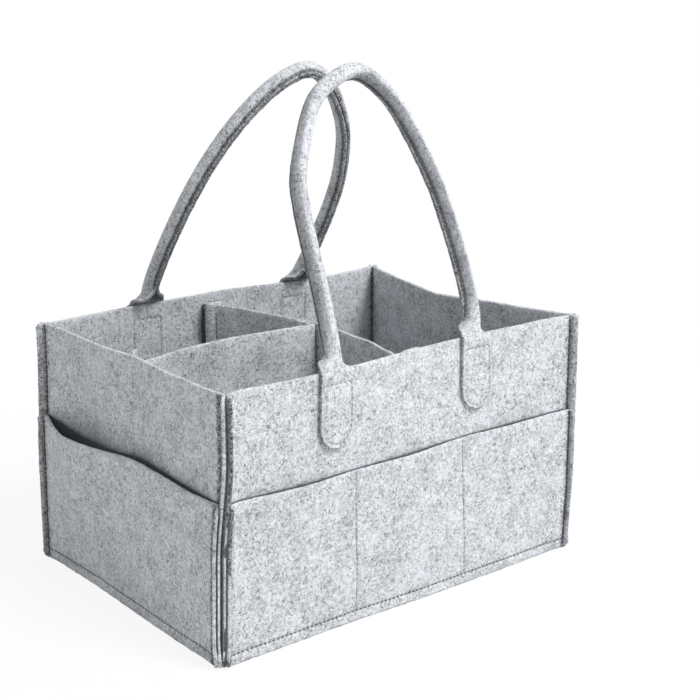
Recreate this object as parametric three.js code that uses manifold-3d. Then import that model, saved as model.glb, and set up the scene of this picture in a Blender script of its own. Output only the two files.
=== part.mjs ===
// Felt diaper caddy: an open box sewn from felt panels, with pockets on all four sides,
// two carrying handles on sewn tabs and a T-shaped divider that lifts out.
// Millimetres, +Z up. The origin lies on the ground below the middle of the box,
// the front long side faces -Y and the left end faces -X.

import * as THREE from 'three';
import { mergeVertices } from 'three/addons/utils/BufferGeometryUtils.js';
import Module from 'manifold-3d';

// Box: outside sizes over the panels, without the standing corner seams and the pockets.
const LENGTH = 330;
const WIDTH = 240;
const HEIGHT = 192;
const FELT = 3;
const SEAM_GAP = 0.3;
const CORNER_FIN = 7;
const HEM = 11;
const HEM_STITCH_HEIGHT = 8;
const HEM_STITCH_END = 6;
const FLOOR_CORNER_CUT = 12;

// How the soft panels wave and fold at the open top, and swell at the bottom.
const FRONT_WAVE = 5;
const BACK_WAVE = 6;
const RIM_DRAW_IN = 1.4;
const BOTTOM_SWELL = 4;
const END_FOLD = 25;
const FOLD_ROUNDING = 0.12;

// Outside pockets.
const POCKET_HEIGHT = 115;
const LONG_SIDE_POCKETS = 3;
const LONG_POCKET_SWELL = 8;
const END_POCKET_SWELL = 16;
const END_POCKET_SKEW = 0.6;
const END_POCKET_FULLNESS = 1.3;

// Handles: one felt strip each, flat at the sewn tabs and rolled to a tube between them.
const HANDLE_SPREAD = 140;
const TAB_WIDTH = 31;
const TAB_DROP = 56;
const TAB_STITCH_INSET = 3;
const TAB_STITCH_BELOW_RIM = 9;
const NECK_LENGTH = 26;
const LEG_LENGTH = 85;
const ARCH_RISE = 128;
const TUBE_WIDTH = 17;
const TUBE_DEPTH = 12;
const TUBE_PINCH = 0.45;
const FRONT_LEAN = 21.5;
const BACK_LEAN = 30;
const INWARD_SWING = 4;
const HINGE_GAP = 0.4;

// Lift-out divider: a cross wall with an end flap at each long side, and a wing to the left end.
const DIVIDER_BELOW_RIM = 5;
const CROSS_BACK_X = -19;
const CROSS_FRONT_X = 0;
const CROSS_BOW = 19;
const CROSS_LIP = 8;
const LIP_STITCH_INSET = 2;
const FLAP_LENGTH = 20;
const WING_ROOT_Y = 2;
const WING_END_Y = -6;
const WING_BOW = 12;
const WING_PIVOT_GAP = 1.2;
const DIVIDER_CLEARANCE = 0.5;
const WING_SWING_CLEARANCE = 0.8;

// Hook tape on the divider's flaps, and the loop tape on the walls that it meets.
const TAPE_THICKNESS = 1;
const TAPE_WIDTH = 14;
const TAPE_HEIGHT = 50;
const TAPE_BELOW_TOP = 15;
const WALL_TAPE_WIDTH = 18;
const WALL_TAPE_HEIGHT = 110;
const WALL_TAPE_BELOW_RIM = 7;
const WALL_TAPE_STITCH_INSET = 2;
const CROSS_TAPE_FROM_FOLD = 6;
const WING_TAPE_FROM_FOLD = -4;

// Sewing thread, drawn as a flat ridge on the felt.
const THREAD_WIDTH = 0.9;
const THREAD_HEIGHT = 0.5;

const LAYER_STEP = FELT + SEAM_GAP;
const FLOOR_TOP = HEM + FELT;
const DIAGONAL = Math.SQRT1_2;

const feltMaterial = new THREE.MeshStandardMaterial({ color: 0xb9bcc0, roughness: 0.95, metalness: 0 });
const threadMaterial = new THREE.MeshStandardMaterial({ color: 0xa7aaae, roughness: 0.7, metalness: 0 });
const tapeMaterial = new THREE.MeshStandardMaterial({ color: 0xd4d6d8, roughness: 0.8, metalness: 0 });

const caddy = new THREE.Group();

function addPiece(parent, name, geometry, material = feltMaterial) {
  const piece = new THREE.Mesh(geometry, material);
  piece.name = name;
  parent.add(piece);
  return piece;
}

// A closed mesh over a grid of front points and a grid of back points.
function closedSheet(columns, rows, frontPoint, backPoint) {
  const positions = [];
  for (const pointAt of [frontPoint, backPoint]) {
    for (let row = 0; row <= rows; row += 1) {
      for (let column = 0; column <= columns; column += 1) {
        const point = pointAt(column, row);
        positions.push(point.x, point.y, point.z);
      }
    }
  }
  const skin = (columns + 1) * (rows + 1);
  const front = (column, row) => row * (columns + 1) + column;
  const back = (column, row) => skin + front(column, row);
  const triangles = [];
  const quad = (a, b, c, d) => triangles.push(a, b, c, a, c, d);
  for (let row = 0; row < rows; row += 1) {
    for (let column = 0; column < columns; column += 1) {
      const next = column + 1;
      quad(front(column, row), front(next, row), front(next, row + 1), front(column, row + 1));
      quad(back(column, row), back(column, row + 1), back(next, row + 1), back(next, row));
    }
  }
  for (let column = 0; column < columns; column += 1) {
    quad(back(column, 0), back(column + 1, 0), front(column + 1, 0), front(column, 0));
    quad(front(column, rows), front(column + 1, rows), back(column + 1, rows), back(column, rows));
  }
  for (let row = 0; row < rows; row += 1) {
    quad(back(0, row + 1), back(0, row), front(0, row), front(0, row + 1));
    quad(front(columns, row + 1), front(columns, row), back(columns, row), back(columns, row + 1));
  }
  const geometry = new THREE.BufferGeometry();
  geometry.setAttribute('position', new THREE.Float32BufferAttribute(positions, 3));
  geometry.setIndex(triangles);
  geometry.computeVertexNormals();
  return geometry;
}

// A sheet that stands on edge: a plan line at every height, thickened to both sides with
// mitred corners. The plan line runs so that its outer side is on the right hand.
function standingSheet({ columns, rows, plan, level, thickness = FELT }) {
  const side = (column, height) => {
    const here = plan(column, height);
    const before = column > 0 ? plan(column - 1, height) : null;
    const after = column < columns ? plan(column + 1, height) : null;
    const outward = (from, to) => new THREE.Vector2(to.y - from.y, from.x - to.x).normalize();
    const first = before ? outward(before, here) : outward(here, after);
    const second = after ? outward(here, after) : first;
    return first.clone().add(second).divideScalar(1 + first.dot(second));
  };
  const shifted = (distance) => (column, row) => {
    const height = level(column, row);
    const point = plan(column, height).clone().addScaledVector(side(column, height), distance);
    return new THREE.Vector3(point.x, point.y, height);
  };
  return closedSheet(columns, rows, shifted(thickness / 2), shifted(-thickness / 2));
}

// A flat ridge of thread along points. Its height or its width stands along the steady direction,
// and the other lies across the path. A closed path joins its end to its start.
function threadRidge(points, steady, steadySize, crossSize, closed = false) {
  const count = points.length;
  const corners = [[-1, -1], [1, -1], [1, 1], [-1, 1]];
  const positions = [];
  points.forEach((point, index) => {
    const before = points[closed ? (index + count - 1) % count : Math.max(index - 1, 0)];
    const after = points[closed ? (index + 1) % count : Math.min(index + 1, count - 1)];
    const arriving = point.clone().sub(before).normalize();
    const leaving = after.clone().sub(point).normalize();
    if (arriving.lengthSq() === 0) arriving.copy(leaving);
    if (leaving.lengthSq() === 0) leaving.copy(arriving);
    const crossIn = steady.clone().cross(arriving).normalize();
    const crossOut = steady.clone().cross(leaving).normalize();
    const across = crossIn.clone().add(crossOut).divideScalar(1 + crossIn.dot(crossOut));
    for (const [alongCross, alongSteady] of corners) {
      const corner = point.clone();
      corner.addScaledVector(across, alongCross * crossSize / 2);
      corner.addScaledVector(steady, alongSteady * steadySize / 2);
      positions.push(corner.x, corner.y, corner.z);
    }
  });
  const triangles = [];
  const quad = (a, b, c, d) => triangles.push(a, b, c, a, c, d);
  const spans = closed ? count : count - 1;
  for (let index = 0; index < spans; index += 1) {
    const start = index * corners.length;
    const end = ((index + 1) % count) * corners.length;
    for (let edge = 0; edge < corners.length; edge += 1) {
      const next = (edge + 1) % corners.length;
      quad(start + edge, start + next, end + next, end + edge);
    }
  }
  if (!closed) {
    const last = (count - 1) * corners.length;
    quad(3, 2, 1, 0);
    quad(last, last + 1, last + 2, last + 3);
  }
  const geometry = new THREE.BufferGeometry();
  geometry.setAttribute('position', new THREE.Float32BufferAttribute(positions, 3));
  geometry.setIndex(triangles);
  geometry.computeVertexNormals();
  return geometry;
}

// Layer 0 is the box panel and layer 1 the pocket or tab sewn on its outside.
const layerDepth = (layer) => FELT / 2 - layer * LAYER_STEP;
const finOffset = (layer) => FELT / 2 + SEAM_GAP / 2 + layer * LAYER_STEP;
const finRoot = (span, layer) => span / 2 - layerDepth(layer) - finOffset(layer) / DIAGONAL;

// Each side of the box is drawn in its own frame: x along the side, -y outwards, z up.
// share() runs from 0 to 1 along the side, and bow() is how far the panel stands out there.
const rimShare = (height) => Math.max(0, (height - FLOOR_TOP) / (HEIGHT - FLOOR_TOP));
const share = (along, span, layer = 0) => (
  THREE.MathUtils.clamp(0.5 + along / (2 * finRoot(span, layer)), 0, 1)
);

function longSideBow(wave) {
  return (along, height, layer = 0) => {
    const place = share(along, LENGTH, layer);
    const atRim = wave * Math.sin(2 * Math.PI * place) - RIM_DRAW_IN * Math.sin(Math.PI * place);
    const atFoot = BOTTOM_SWELL * Math.sin(Math.PI * place);
    return rimShare(height) * atRim + (1 - rimShare(height)) * atFoot;
  };
}

function foldedEndBow(along, height) {
  const offMiddle = Math.hypot(2 * share(along, WIDTH) - 1, FOLD_ROUNDING);
  const offEdge = Math.hypot(1, FOLD_ROUNDING);
  return -END_FOLD * rimShare(height) * (offEdge - offMiddle) / (offEdge - FOLD_ROUNDING);
}

const flatBow = () => 0;

const pocketShare = (height) => Math.max(0, (height - FLOOR_TOP) / (POCKET_HEIGHT - FLOOR_TOP));

function longPocketSwell(along, height) {
  const inPocket = share(along, LENGTH, 1) * LONG_SIDE_POCKETS;
  return LONG_POCKET_SWELL * pocketShare(height) * (1 - Math.cos(2 * Math.PI * inPocket)) / 2;
}

function endPocketSwell(fromBack, height) {
  const crown = Math.sin(Math.PI * fromBack ** END_POCKET_SKEW);
  return END_POCKET_SWELL * pocketShare(height) * Math.max(crown, 0) ** END_POCKET_FULLNESS;
}

// The plan line of a side panel: its edges turn out along the corner's diagonal as fins.
function sidePlan(span, layer, columns, bow) {
  const depth = layerDepth(layer);
  const offset = finOffset(layer);
  const rootAlong = finRoot(span, layer);
  const tipAlong = span / 2 + (CORNER_FIN - offset) * DIAGONAL;
  const tipOut = (CORNER_FIN + offset) * DIAGONAL;
  return (column, height) => {
    if (column === 0) return new THREE.Vector2(-tipAlong, -tipOut);
    if (column === columns) return new THREE.Vector2(tipAlong, -tipOut);
    const along = THREE.MathUtils.lerp(-rootAlong, rootAlong, (column - 1) / (columns - 2));
    return new THREE.Vector2(along, depth - bow(along, height));
  };
}

// Below the floor's top the panel stands straight up, and above it leans to its rim.
const LEANING_ROWS = 4;

function sidePanel({ span, layer, spans, top, bow }) {
  const columns = spans + 2;
  const levels = [0];
  for (let row = 0; row <= LEANING_ROWS; row += 1) {
    levels.push(THREE.MathUtils.lerp(FLOOR_TOP, top, row / LEANING_ROWS));
  }
  return standingSheet({
    columns,
    rows: levels.length - 1,
    plan: sidePlan(span, layer, columns, bow),
    level: (column, row) => levels[row],
  });
}

// The four sides: where each stands, the corner at its right-hand end as seen from outside,
// and how its panel and pocket are shaped.
const frontBow = longSideBow(FRONT_WAVE);
const backBow = longSideBow(-BACK_WAVE);
const sides = {
  front: {
    span: LENGTH, away: WIDTH / 2, turn: 0, corner: 'front_right',
    bow: frontBow, pocketRows: LONG_SIDE_POCKETS,
    pocketBow: (along, height) => frontBow(along, height, 1) + longPocketSwell(along, height),
  },
  right_end: {
    span: WIDTH, away: LENGTH / 2, turn: Math.PI / 2, corner: 'back_right',
    bow: foldedEndBow, pocketRows: 1,
    pocketBow: (along, height) => endPocketSwell(1 - share(along, WIDTH, 1), height),
  },
  back: {
    span: LENGTH, away: WIDTH / 2, turn: Math.PI, corner: 'back_left',
    bow: backBow, pocketRows: LONG_SIDE_POCKETS,
    pocketBow: (along, height) => backBow(along, height, 1) + longPocketSwell(along, height),
  },
  left_end: {
    span: WIDTH, away: LENGTH / 2, turn: -Math.PI / 2, corner: 'front_left',
    bow: flatBow, pocketRows: 1,
    pocketBow: (along, height) => endPocketSwell(share(along, WIDTH, 1), height),
  },
};

const PANEL_SPANS = 18;
const SPANS_PER_POCKET = 6;
const END_POCKET_SPANS = 14;

for (const [name, side] of Object.entries(sides)) {
  side.frame = new THREE.Group();
  side.frame.rotation.z = side.turn;
  side.frame.position.set(Math.sin(side.turn) * side.away, -Math.cos(side.turn) * side.away, 0);
  caddy.add(side.frame);
  const { span, bow, pocketBow } = side;
  addPiece(side.frame, `${name}_panel`, sidePanel({
    span, layer: 0, spans: PANEL_SPANS, top: HEIGHT, bow,
  }));
  side.pocketSpans = side.pocketRows > 1 ? side.pocketRows * SPANS_PER_POCKET : END_POCKET_SPANS;
  addPiece(side.frame, `${name}_pocket`, sidePanel({
    span, layer: 1, spans: side.pocketSpans, top: POCKET_HEIGHT, bow: pocketBow,
  }));
}

// Floor: a felt sheet whose edges turn down inside the panels, with the corners cut away.
const wasm = await Module();
wasm.setup();

function solidOf(geometry) {
  const bare = geometry.clone();
  bare.deleteAttribute('normal');
  bare.deleteAttribute('uv');
  const merged = mergeVertices(bare);
  return new wasm.Manifold(new wasm.Mesh({
    numProp: 3,
    vertProperties: new Float32Array(merged.attributes.position.array),
    triVerts: new Uint32Array(merged.index.array),
  }));
}

function geometryOf(solid) {
  const mesh = solid.getMesh();
  const geometry = new THREE.BufferGeometry();
  geometry.setAttribute('position', new THREE.Float32BufferAttribute(mesh.vertProperties, 3));
  geometry.setIndex(new THREE.Uint32BufferAttribute(mesh.triVerts, 1));
  geometry.computeVertexNormals();
  return geometry;
}

// The line just inside the panels, drawn in by an inset, at the height where they stand closest.
const FLOOR_SPANS = 8;

function floorOutline(inset) {
  const outline = new THREE.Shape();
  const points = [];
  for (const side of Object.values(sides)) {
    const reach = side.span / 2 - LAYER_STEP - inset;
    for (let step = 0; step < FLOOR_SPANS; step += 1) {
      const along = THREE.MathUtils.lerp(-reach, reach, step / FLOOR_SPANS);
      const out = side.away - LAYER_STEP - inset + Math.max(side.bow(along, FLOOR_TOP), 0);
      const point = new THREE.Vector2(along, -out);
      points.push(point.rotateAround(new THREE.Vector2(), side.turn));
    }
  }
  outline.setFromPoints(points);
  return outline;
}

function slab(outline, from, to) {
  const geometry = new THREE.ExtrudeGeometry(outline, { depth: to - from, bevelEnabled: false });
  geometry.translate(0, 0, from);
  return solidOf(geometry);
}

let floor = slab(floorOutline(0), 0, FLOOR_TOP).subtract(slab(floorOutline(FELT), -HEM, HEM));
const cornerCut = solidOf(new THREE.BoxGeometry(FLOOR_CORNER_CUT, FLOOR_CORNER_CUT, 2 * HEM));
for (const x of [-1, 1]) {
  for (const y of [-1, 1]) {
    const corner = [x * (LENGTH / 2 - LAYER_STEP), y * (WIDTH / 2 - LAYER_STEP), 0];
    floor = floor.subtract(cornerCut.translate(corner));
  }
}
addPiece(caddy, 'floor_panel', geometryOf(floor));

// Seams of the box. A thread lies half its height plus the gap off the felt.
const THREAD_OFF = SEAM_GAP + THREAD_HEIGHT / 2;
const UP = new THREE.Vector3(0, 0, 1);
const OUT = new THREE.Vector3(0, -1, 0);
const ALONG = new THREE.Vector3(1, 0, 0);

// The face of a panel layer, lifted off it by a distance, in the side's own frame.
function onFace(layer, bow, along, height, lift) {
  return new THREE.Vector3(along, layerDepth(layer) - FELT / 2 - bow(along, height) - lift, height);
}

for (const [name, side] of Object.entries(sides)) {
  // Hem: along the bottom, through pocket, panel and the floor's turned-down rim.
  const hemPoints = [];
  const hemReach = finRoot(side.span, 1) - HEM_STITCH_END;
  for (let step = 0; step <= PANEL_SPANS; step += 1) {
    const along = THREE.MathUtils.lerp(-hemReach, hemReach, step / PANEL_SPANS);
    hemPoints.push(onFace(1, side.pocketBow, along, HEM_STITCH_HEIGHT, THREAD_OFF));
  }
  addPiece(side.frame, `${name}_hem_seam`,
    threadRidge(hemPoints, UP, THREAD_WIDTH, THREAD_HEIGHT), threadMaterial);

  // Upright rows that part the long side's pockets.
  for (let row = 1; row < side.pocketRows; row += 1) {
    const along = 2 * finRoot(side.span, 1) * (row / side.pocketRows - 0.5);
    const heights = [FLOOR_TOP, POCKET_HEIGHT - THREAD_WIDTH];
    const points = heights.map((height) => onFace(1, side.pocketBow, along, height, THREAD_OFF));
    addPiece(side.frame, `${name}_pocket_row_${row}`,
      threadRidge(points, ALONG, THREAD_WIDTH, THREAD_HEIGHT), threadMaterial);
  }

  // Corner seam at the side's right-hand end, on the face of its fin: over the pocket's layer
  // up to the mouth, then over the panel's own layer up to the rim.
  const finWay = new THREE.Vector3(DIAGONAL, -DIAGONAL, 0);
  const finFacing = new THREE.Vector3(-DIAGONAL, -DIAGONAL, 0);
  const finPoint = (layer, height) => {
    const point = new THREE.Vector3(side.span / 2, 0, height);
    point.addScaledVector(finWay, CORNER_FIN / 2);
    return point.addScaledVector(finFacing, finOffset(layer) + FELT / 2 + THREAD_OFF);
  };
  const step = POCKET_HEIGHT + THREAD_OFF;
  const seamPoints = [finPoint(1, HEM), finPoint(1, step), finPoint(0, step), finPoint(0, HEIGHT - HEM)];
  addPiece(side.frame, `${side.corner}_corner_seam`,
    threadRidge(seamPoints, finWay, THREAD_WIDTH, THREAD_HEIGHT), threadMaterial);
}

// Handles. Each grip is drawn upright in the frame of its hinge line, which runs along the rim
// just outside its two tabs: x along the line, +y into the box, z up. Then it leans in.
const TAB_COLUMNS = 8;
const TAB_ROWS = 3;
const TAB_STITCH_TOP_SPANS = 4;
const TAB_STITCH_FOOT_SPANS = 10;
const NECK_RINGS = 5;
const ARCH_RINGS = 18;
const RING_POINTS = 12;
const FLAT_SQUARENESS = 8;
const TUBE_SQUARENESS = 2.3;

function tabLine(centre) {
  return (column) => centre - Math.cos(Math.PI * column / TAB_COLUMNS) * TAB_WIDTH / 2;
}

function tabFoot(centre, along) {
  const radius = TAB_WIDTH / 2;
  const across = Math.min(Math.abs(along - centre), radius);
  return HEIGHT - TAB_DROP + radius - Math.sqrt(radius ** 2 - across ** 2);
}

function handleTab(side, centre) {
  const alongAt = tabLine(centre);
  return standingSheet({
    columns: TAB_COLUMNS,
    rows: TAB_ROWS,
    plan: (column, height) => {
      const along = alongAt(column);
      return new THREE.Vector2(along, layerDepth(1) - side.bow(along, height));
    },
    level: (column, row) => THREE.MathUtils.lerp(tabFoot(centre, alongAt(column)), HEIGHT, row / TAB_ROWS),
  });
}

// A closed row of stitches on the outside of a layer, round a centre along the side.
function stitchLoop(side, layer, centre, path) {
  const points = path.map(([x, height]) => onFace(layer, side.bow, centre + x, height, THREAD_OFF));
  return threadRidge(points, OUT, THREAD_HEIGHT, THREAD_WIDTH, true);
}

// The stitching round a tab: across below the rim, down one side, round the foot and up the other.
function tabStitching(side, centre) {
  const radius = TAB_WIDTH / 2 - TAB_STITCH_INSET;
  const footCentre = HEIGHT - TAB_DROP + TAB_WIDTH / 2;
  const top = HEIGHT - TAB_STITCH_BELOW_RIM;
  const path = [];
  for (let step = 0; step <= TAB_STITCH_TOP_SPANS; step += 1) {
    path.push([THREE.MathUtils.lerp(-radius, radius, step / TAB_STITCH_TOP_SPANS), top]);
  }
  for (let step = 0; step <= TAB_STITCH_FOOT_SPANS; step += 1) {
    const turn = Math.PI * step / TAB_STITCH_FOOT_SPANS;
    path.push([Math.cos(turn) * radius, footCentre - Math.sin(turn) * radius]);
  }
  return stitchLoop(side, 1, centre, path);
}

const smooth = (value) => THREE.MathUtils.smoothstep(value, 0, 1);

// How far above the hinge line the strip starts, so that it clears the tab when it swings in.
const neckStart = (lean) => FELT * Math.tan(THREE.MathUtils.degToRad(lean + INWARD_SWING)) + SEAM_GAP;

// The middle line of the strip above the hinge: two straight legs and a half ellipse.
function archStations(lean) {
  const half = HANDLE_SPREAD / 2;
  const leg = [];
  for (let ring = 0; ring <= NECK_RINGS; ring += 1) {
    const rolled = ring / NECK_RINGS;
    leg.push({ up: neckStart(lean) + NECK_LENGTH * rolled, rolled: smooth(rolled) });
  }
  const stations = leg.map(({ up, rolled }) => ({ x: -half, up, rolled, inX: 1, inUp: 0 }));
  for (let ring = 0; ring <= ARCH_RINGS; ring += 1) {
    const turn = Math.PI * (1 - ring / ARCH_RINGS);
    const inward = new THREE.Vector2(-Math.cos(turn) * ARCH_RISE, -Math.sin(turn) * half).normalize();
    stations.push({
      x: half * Math.cos(turn), up: LEG_LENGTH + ARCH_RISE * Math.sin(turn),
      rolled: 1, inX: inward.x, inUp: inward.y,
    });
  }
  for (const { up, rolled } of leg.reverse()) stations.push({ x: half, up, rolled, inX: -1, inUp: 0 });
  return stations;
}

// A point of the strip's section: inner is 1 at the side that faces the arch's middle and
// -1 at its outer side, depth is 0 on the hinge line's face.
function sectionPoint(station, inner, raised) {
  const width = THREE.MathUtils.lerp(TAB_WIDTH, TUBE_WIDTH, station.rolled);
  const depth = THREE.MathUtils.lerp(FELT, TUBE_DEPTH, station.rolled);
  const pinch = 1 - TUBE_PINCH * station.rolled * smooth(inner);
  return new THREE.Vector3(
    station.x + station.inX * inner * width / 2,
    depth / 2 + raised * pinch * depth / 2,
    station.up + station.inUp * inner * width / 2,
  );
}

function superPoint(turn, squareness) {
  const power = (value) => Math.sign(value) * Math.abs(value) ** (2 / squareness);
  return [power(Math.cos(turn)), power(Math.sin(turn))];
}

function handleGrip(lean) {
  const stations = archStations(lean);
  const positions = [];
  for (const station of stations) {
    const squareness = THREE.MathUtils.lerp(FLAT_SQUARENESS, TUBE_SQUARENESS, station.rolled);
    for (let index = 0; index < RING_POINTS; index += 1) {
      const [inner, raised] = superPoint(2 * Math.PI * (index + 0.5) / RING_POINTS, squareness);
      const point = sectionPoint(station, inner, raised);
      positions.push(point.x, point.y, point.z);
    }
  }
  const triangles = [];
  for (let ring = 0; ring < stations.length - 1; ring += 1) {
    for (let index = 0; index < RING_POINTS; index += 1) {
      const next = (index + 1) % RING_POINTS;
      const here = ring * RING_POINTS;
      const ahead = here + RING_POINTS;
      triangles.push(here + index, here + next, ahead + next, here + index, ahead + next, ahead + index);
    }
  }
  const last = (stations.length - 1) * RING_POINTS;
  for (let index = 1; index < RING_POINTS - 1; index += 1) {
    triangles.push(0, index + 1, index, last, last + index, last + index + 1);
  }
  const geometry = new THREE.BufferGeometry();
  geometry.setAttribute('position', new THREE.Float32BufferAttribute(positions, 3));
  geometry.setIndex(triangles);
  geometry.computeVertexNormals();
  return geometry;
}

// The stitch row that closes the rolled strip, on its outer face beside the flattened edge.
const SEAM_INNER = 0.5;

function handleStitching(lean) {
  const height = (1 - SEAM_INNER ** TUBE_SQUARENESS) ** (1 / TUBE_SQUARENESS);
  const points = [];
  for (const station of archStations(lean)) {
    if (station.rolled < 1) continue;
    const point = sectionPoint(station, SEAM_INNER, -height);
    points.push(point.add(new THREE.Vector3(0, -THREAD_OFF, 0)));
  }
  return threadRidge(points, new THREE.Vector3(0, 1, 0), THREAD_HEIGHT, THREAD_WIDTH);
}

for (const [name, lean] of [['front', FRONT_LEAN], ['back', BACK_LEAN]]) {
  const side = sides[name];
  const ends = [];
  for (const centre of [-HANDLE_SPREAD / 2, HANDLE_SPREAD / 2]) {
    const hand = centre * Math.cos(side.turn) < 0 ? 'left' : 'right';
    addPiece(side.frame, `${name}_handle_${hand}_tab`, handleTab(side, centre));
    addPiece(side.frame, `${name}_handle_${hand}_tab_seam`, tabStitching(side, centre), threadMaterial);
    ends.push(onFace(1, side.bow, centre, HEIGHT, HINGE_GAP));
  }
  const hinge = new THREE.Group();
  hinge.position.lerpVectors(ends[0], ends[1], 0.5);
  hinge.rotation.z = Math.atan2(ends[1].y - ends[0].y, ends[1].x - ends[0].x);
  side.frame.add(hinge);
  const leaning = new THREE.Group();
  leaning.rotation.x = -THREE.MathUtils.degToRad(lean);
  hinge.add(leaning);
  addPiece(leaning, `${name}_handle_grip`, handleGrip(lean));
  addPiece(leaning, `${name}_handle_seam`, handleStitching(lean), threadMaterial);
}

// Loop tape on the inside of the three walls that the divider's flaps meet. Its stitching shows
// on the outside. Each centre is measured along the wall in the wall's own frame.
const wallTapes = {
  front: CROSS_FRONT_X + CROSS_TAPE_FROM_FOLD,
  back: -CROSS_BACK_X - CROSS_TAPE_FROM_FOLD,
  left_end: -WING_END_Y - WING_TAPE_FROM_FOLD,
};
const wallTapeTop = HEIGHT - WALL_TAPE_BELOW_RIM;
const wallTapeFoot = wallTapeTop - WALL_TAPE_HEIGHT;
const WALL_TAPE_SPANS = 3;

for (const [name, centre] of Object.entries(wallTapes)) {
  const side = sides[name];
  addPiece(side.frame, `${name}_wall_tape`, standingSheet({
    columns: WALL_TAPE_SPANS,
    rows: 1,
    plan: (column, height) => {
      const along = centre + WALL_TAPE_WIDTH * (column / WALL_TAPE_SPANS - 0.5);
      return new THREE.Vector2(along, FELT + SEAM_GAP + TAPE_THICKNESS / 2 - side.bow(along, height));
    },
    level: (column, row) => (row === 0 ? wallTapeFoot : wallTapeTop),
    thickness: TAPE_THICKNESS,
  }), tapeMaterial);
  const half = WALL_TAPE_WIDTH / 2 - WALL_TAPE_STITCH_INSET;
  const top = wallTapeTop - WALL_TAPE_STITCH_INSET;
  const foot = wallTapeFoot + WALL_TAPE_STITCH_INSET;
  addPiece(side.frame, `${name}_wall_tape_seam`,
    stitchLoop(side, 0, centre, [[-half, top], [half, top], [half, foot], [-half, foot]]), threadMaterial);
}

// Divider. It stands on the floor as an upright prism, clear of the walls' tape at every height.
const DIVIDER_FOOT = FLOOR_TOP + SEAM_GAP;
const DIVIDER_TOP = HEIGHT - DIVIDER_BELOW_RIM;
const TAPE_SEAT = FELT / 2 + SEAM_GAP + TAPE_THICKNESS;

const REACH_SAMPLES = 8;
const CROSS_SPANS = 16;
const FLAP_SPANS = 4;
const WING_SPANS = 12;

// How far out a long side's inner face lies, at least, between two places along the box.
function innerReach(side, fromX, toX) {
  let reach = Infinity;
  for (let step = 0; step <= REACH_SAMPLES; step += 1) {
    const along = THREE.MathUtils.lerp(fromX, toX, step / REACH_SAMPLES) * Math.cos(side.turn);
    for (const height of [FLOOR_TOP, HEIGHT]) {
      reach = Math.min(reach, side.away - FELT + side.bow(along, height));
    }
  }
  return reach;
}

const WALL_TAPE_SEAT = SEAM_GAP + TAPE_THICKNESS;
const dividerSeat = WALL_TAPE_SEAT + DIVIDER_CLEARANCE + TAPE_SEAT;
const crossBackY = innerReach(sides.back, CROSS_BACK_X - FELT, CROSS_BACK_X + FLAP_LENGTH) - dividerSeat;
const crossFrontY = dividerSeat - innerReach(sides.front, CROSS_FRONT_X - FELT, CROSS_FRONT_X + FLAP_LENGTH);

// Behind its fold at the back, the cross wall starts with a slanting lip, and then bows to the right.
const backFold = new THREE.Vector2(CROSS_BACK_X, crossBackY - FELT);
const lipWay = new THREE.Vector2(DIAGONAL, -DIAGONAL);
const lipEnd = backFold.clone().addScaledVector(lipWay, CROSS_LIP);
const crossX = (along) => (
  THREE.MathUtils.lerp(lipEnd.x, CROSS_FRONT_X, along) + CROSS_BOW * Math.sin(Math.PI * along)
);
const crossY = (along) => THREE.MathUtils.lerp(lipEnd.y, crossFrontY, along);

function prismSheet(line, thickness = FELT, foot = DIVIDER_FOOT, top = DIVIDER_TOP) {
  return standingSheet({
    columns: line.length - 1,
    rows: 1,
    plan: (column) => line[column],
    level: (column, row) => (row === 0 ? foot : top),
    thickness,
  });
}

const crossLine = [
  new THREE.Vector2(CROSS_BACK_X + FLAP_LENGTH, crossBackY),
  new THREE.Vector2(CROSS_BACK_X, crossBackY),
  backFold,
];
for (let step = 0; step <= CROSS_SPANS; step += 1) {
  const along = step / CROSS_SPANS;
  crossLine.push(new THREE.Vector2(crossX(along), crossY(along)));
}
crossLine.push(new THREE.Vector2(CROSS_FRONT_X + FLAP_LENGTH, crossFrontY));
addPiece(caddy, 'cross_divider', prismSheet(crossLine));

// The wing's flap is sewn to the cross wall, and the wing turns where the felt folds beside it.
const crossShareAt = (y) => (lipEnd.y - y) / (lipEnd.y - crossFrontY);
const flapLine = [];
for (let step = 0; step <= FLAP_SPANS; step += 1) {
  const y = WING_ROOT_Y + FLAP_LENGTH * (1 - step / FLAP_SPANS);
  flapLine.push(new THREE.Vector2(crossX(crossShareAt(y)) - LAYER_STEP, y));
}
addPiece(caddy, 'wing_flap', prismSheet(flapLine));

const wingPivot = new THREE.Vector2(flapLine.at(-1).x, WING_ROOT_Y);
const wingRootX = wingPivot.x - FELT / 2 - WING_PIVOT_GAP;
const wingEndX = -(LENGTH / 2 - FELT) + WALL_TAPE_SEAT + WING_SWING_CLEARANCE + TAPE_SEAT;
const wingLine = [];
for (let step = 0; step <= WING_SPANS; step += 1) {
  const along = step / WING_SPANS;
  const y = THREE.MathUtils.lerp(WING_ROOT_Y, WING_END_Y, along) + WING_BOW * Math.sin(Math.PI * along);
  wingLine.push(new THREE.Vector2(THREE.MathUtils.lerp(wingRootX, wingEndX, along), y));
}
wingLine.push(new THREE.Vector2(wingEndX, WING_END_Y + FLAP_LENGTH));
addPiece(caddy, 'wing_divider', prismSheet(wingLine));

// Hook tape on the side of each flap that meets a wall.
const tapeTop = DIVIDER_TOP - TAPE_BELOW_TOP;
const tapeOff = FELT / 2 + SEAM_GAP + TAPE_THICKNESS / 2;
const tapeStart = (FLAP_LENGTH - TAPE_WIDTH) / 2;

function tape(name, from, way, facing) {
  const line = [from, from.clone().addScaledVector(way, TAPE_WIDTH)];
  line.forEach((point) => point.addScaledVector(facing, tapeOff).addScaledVector(way, tapeStart));
  addPiece(caddy, name, prismSheet(line, TAPE_THICKNESS, tapeTop - TAPE_HEIGHT, tapeTop), tapeMaterial);
}

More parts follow.
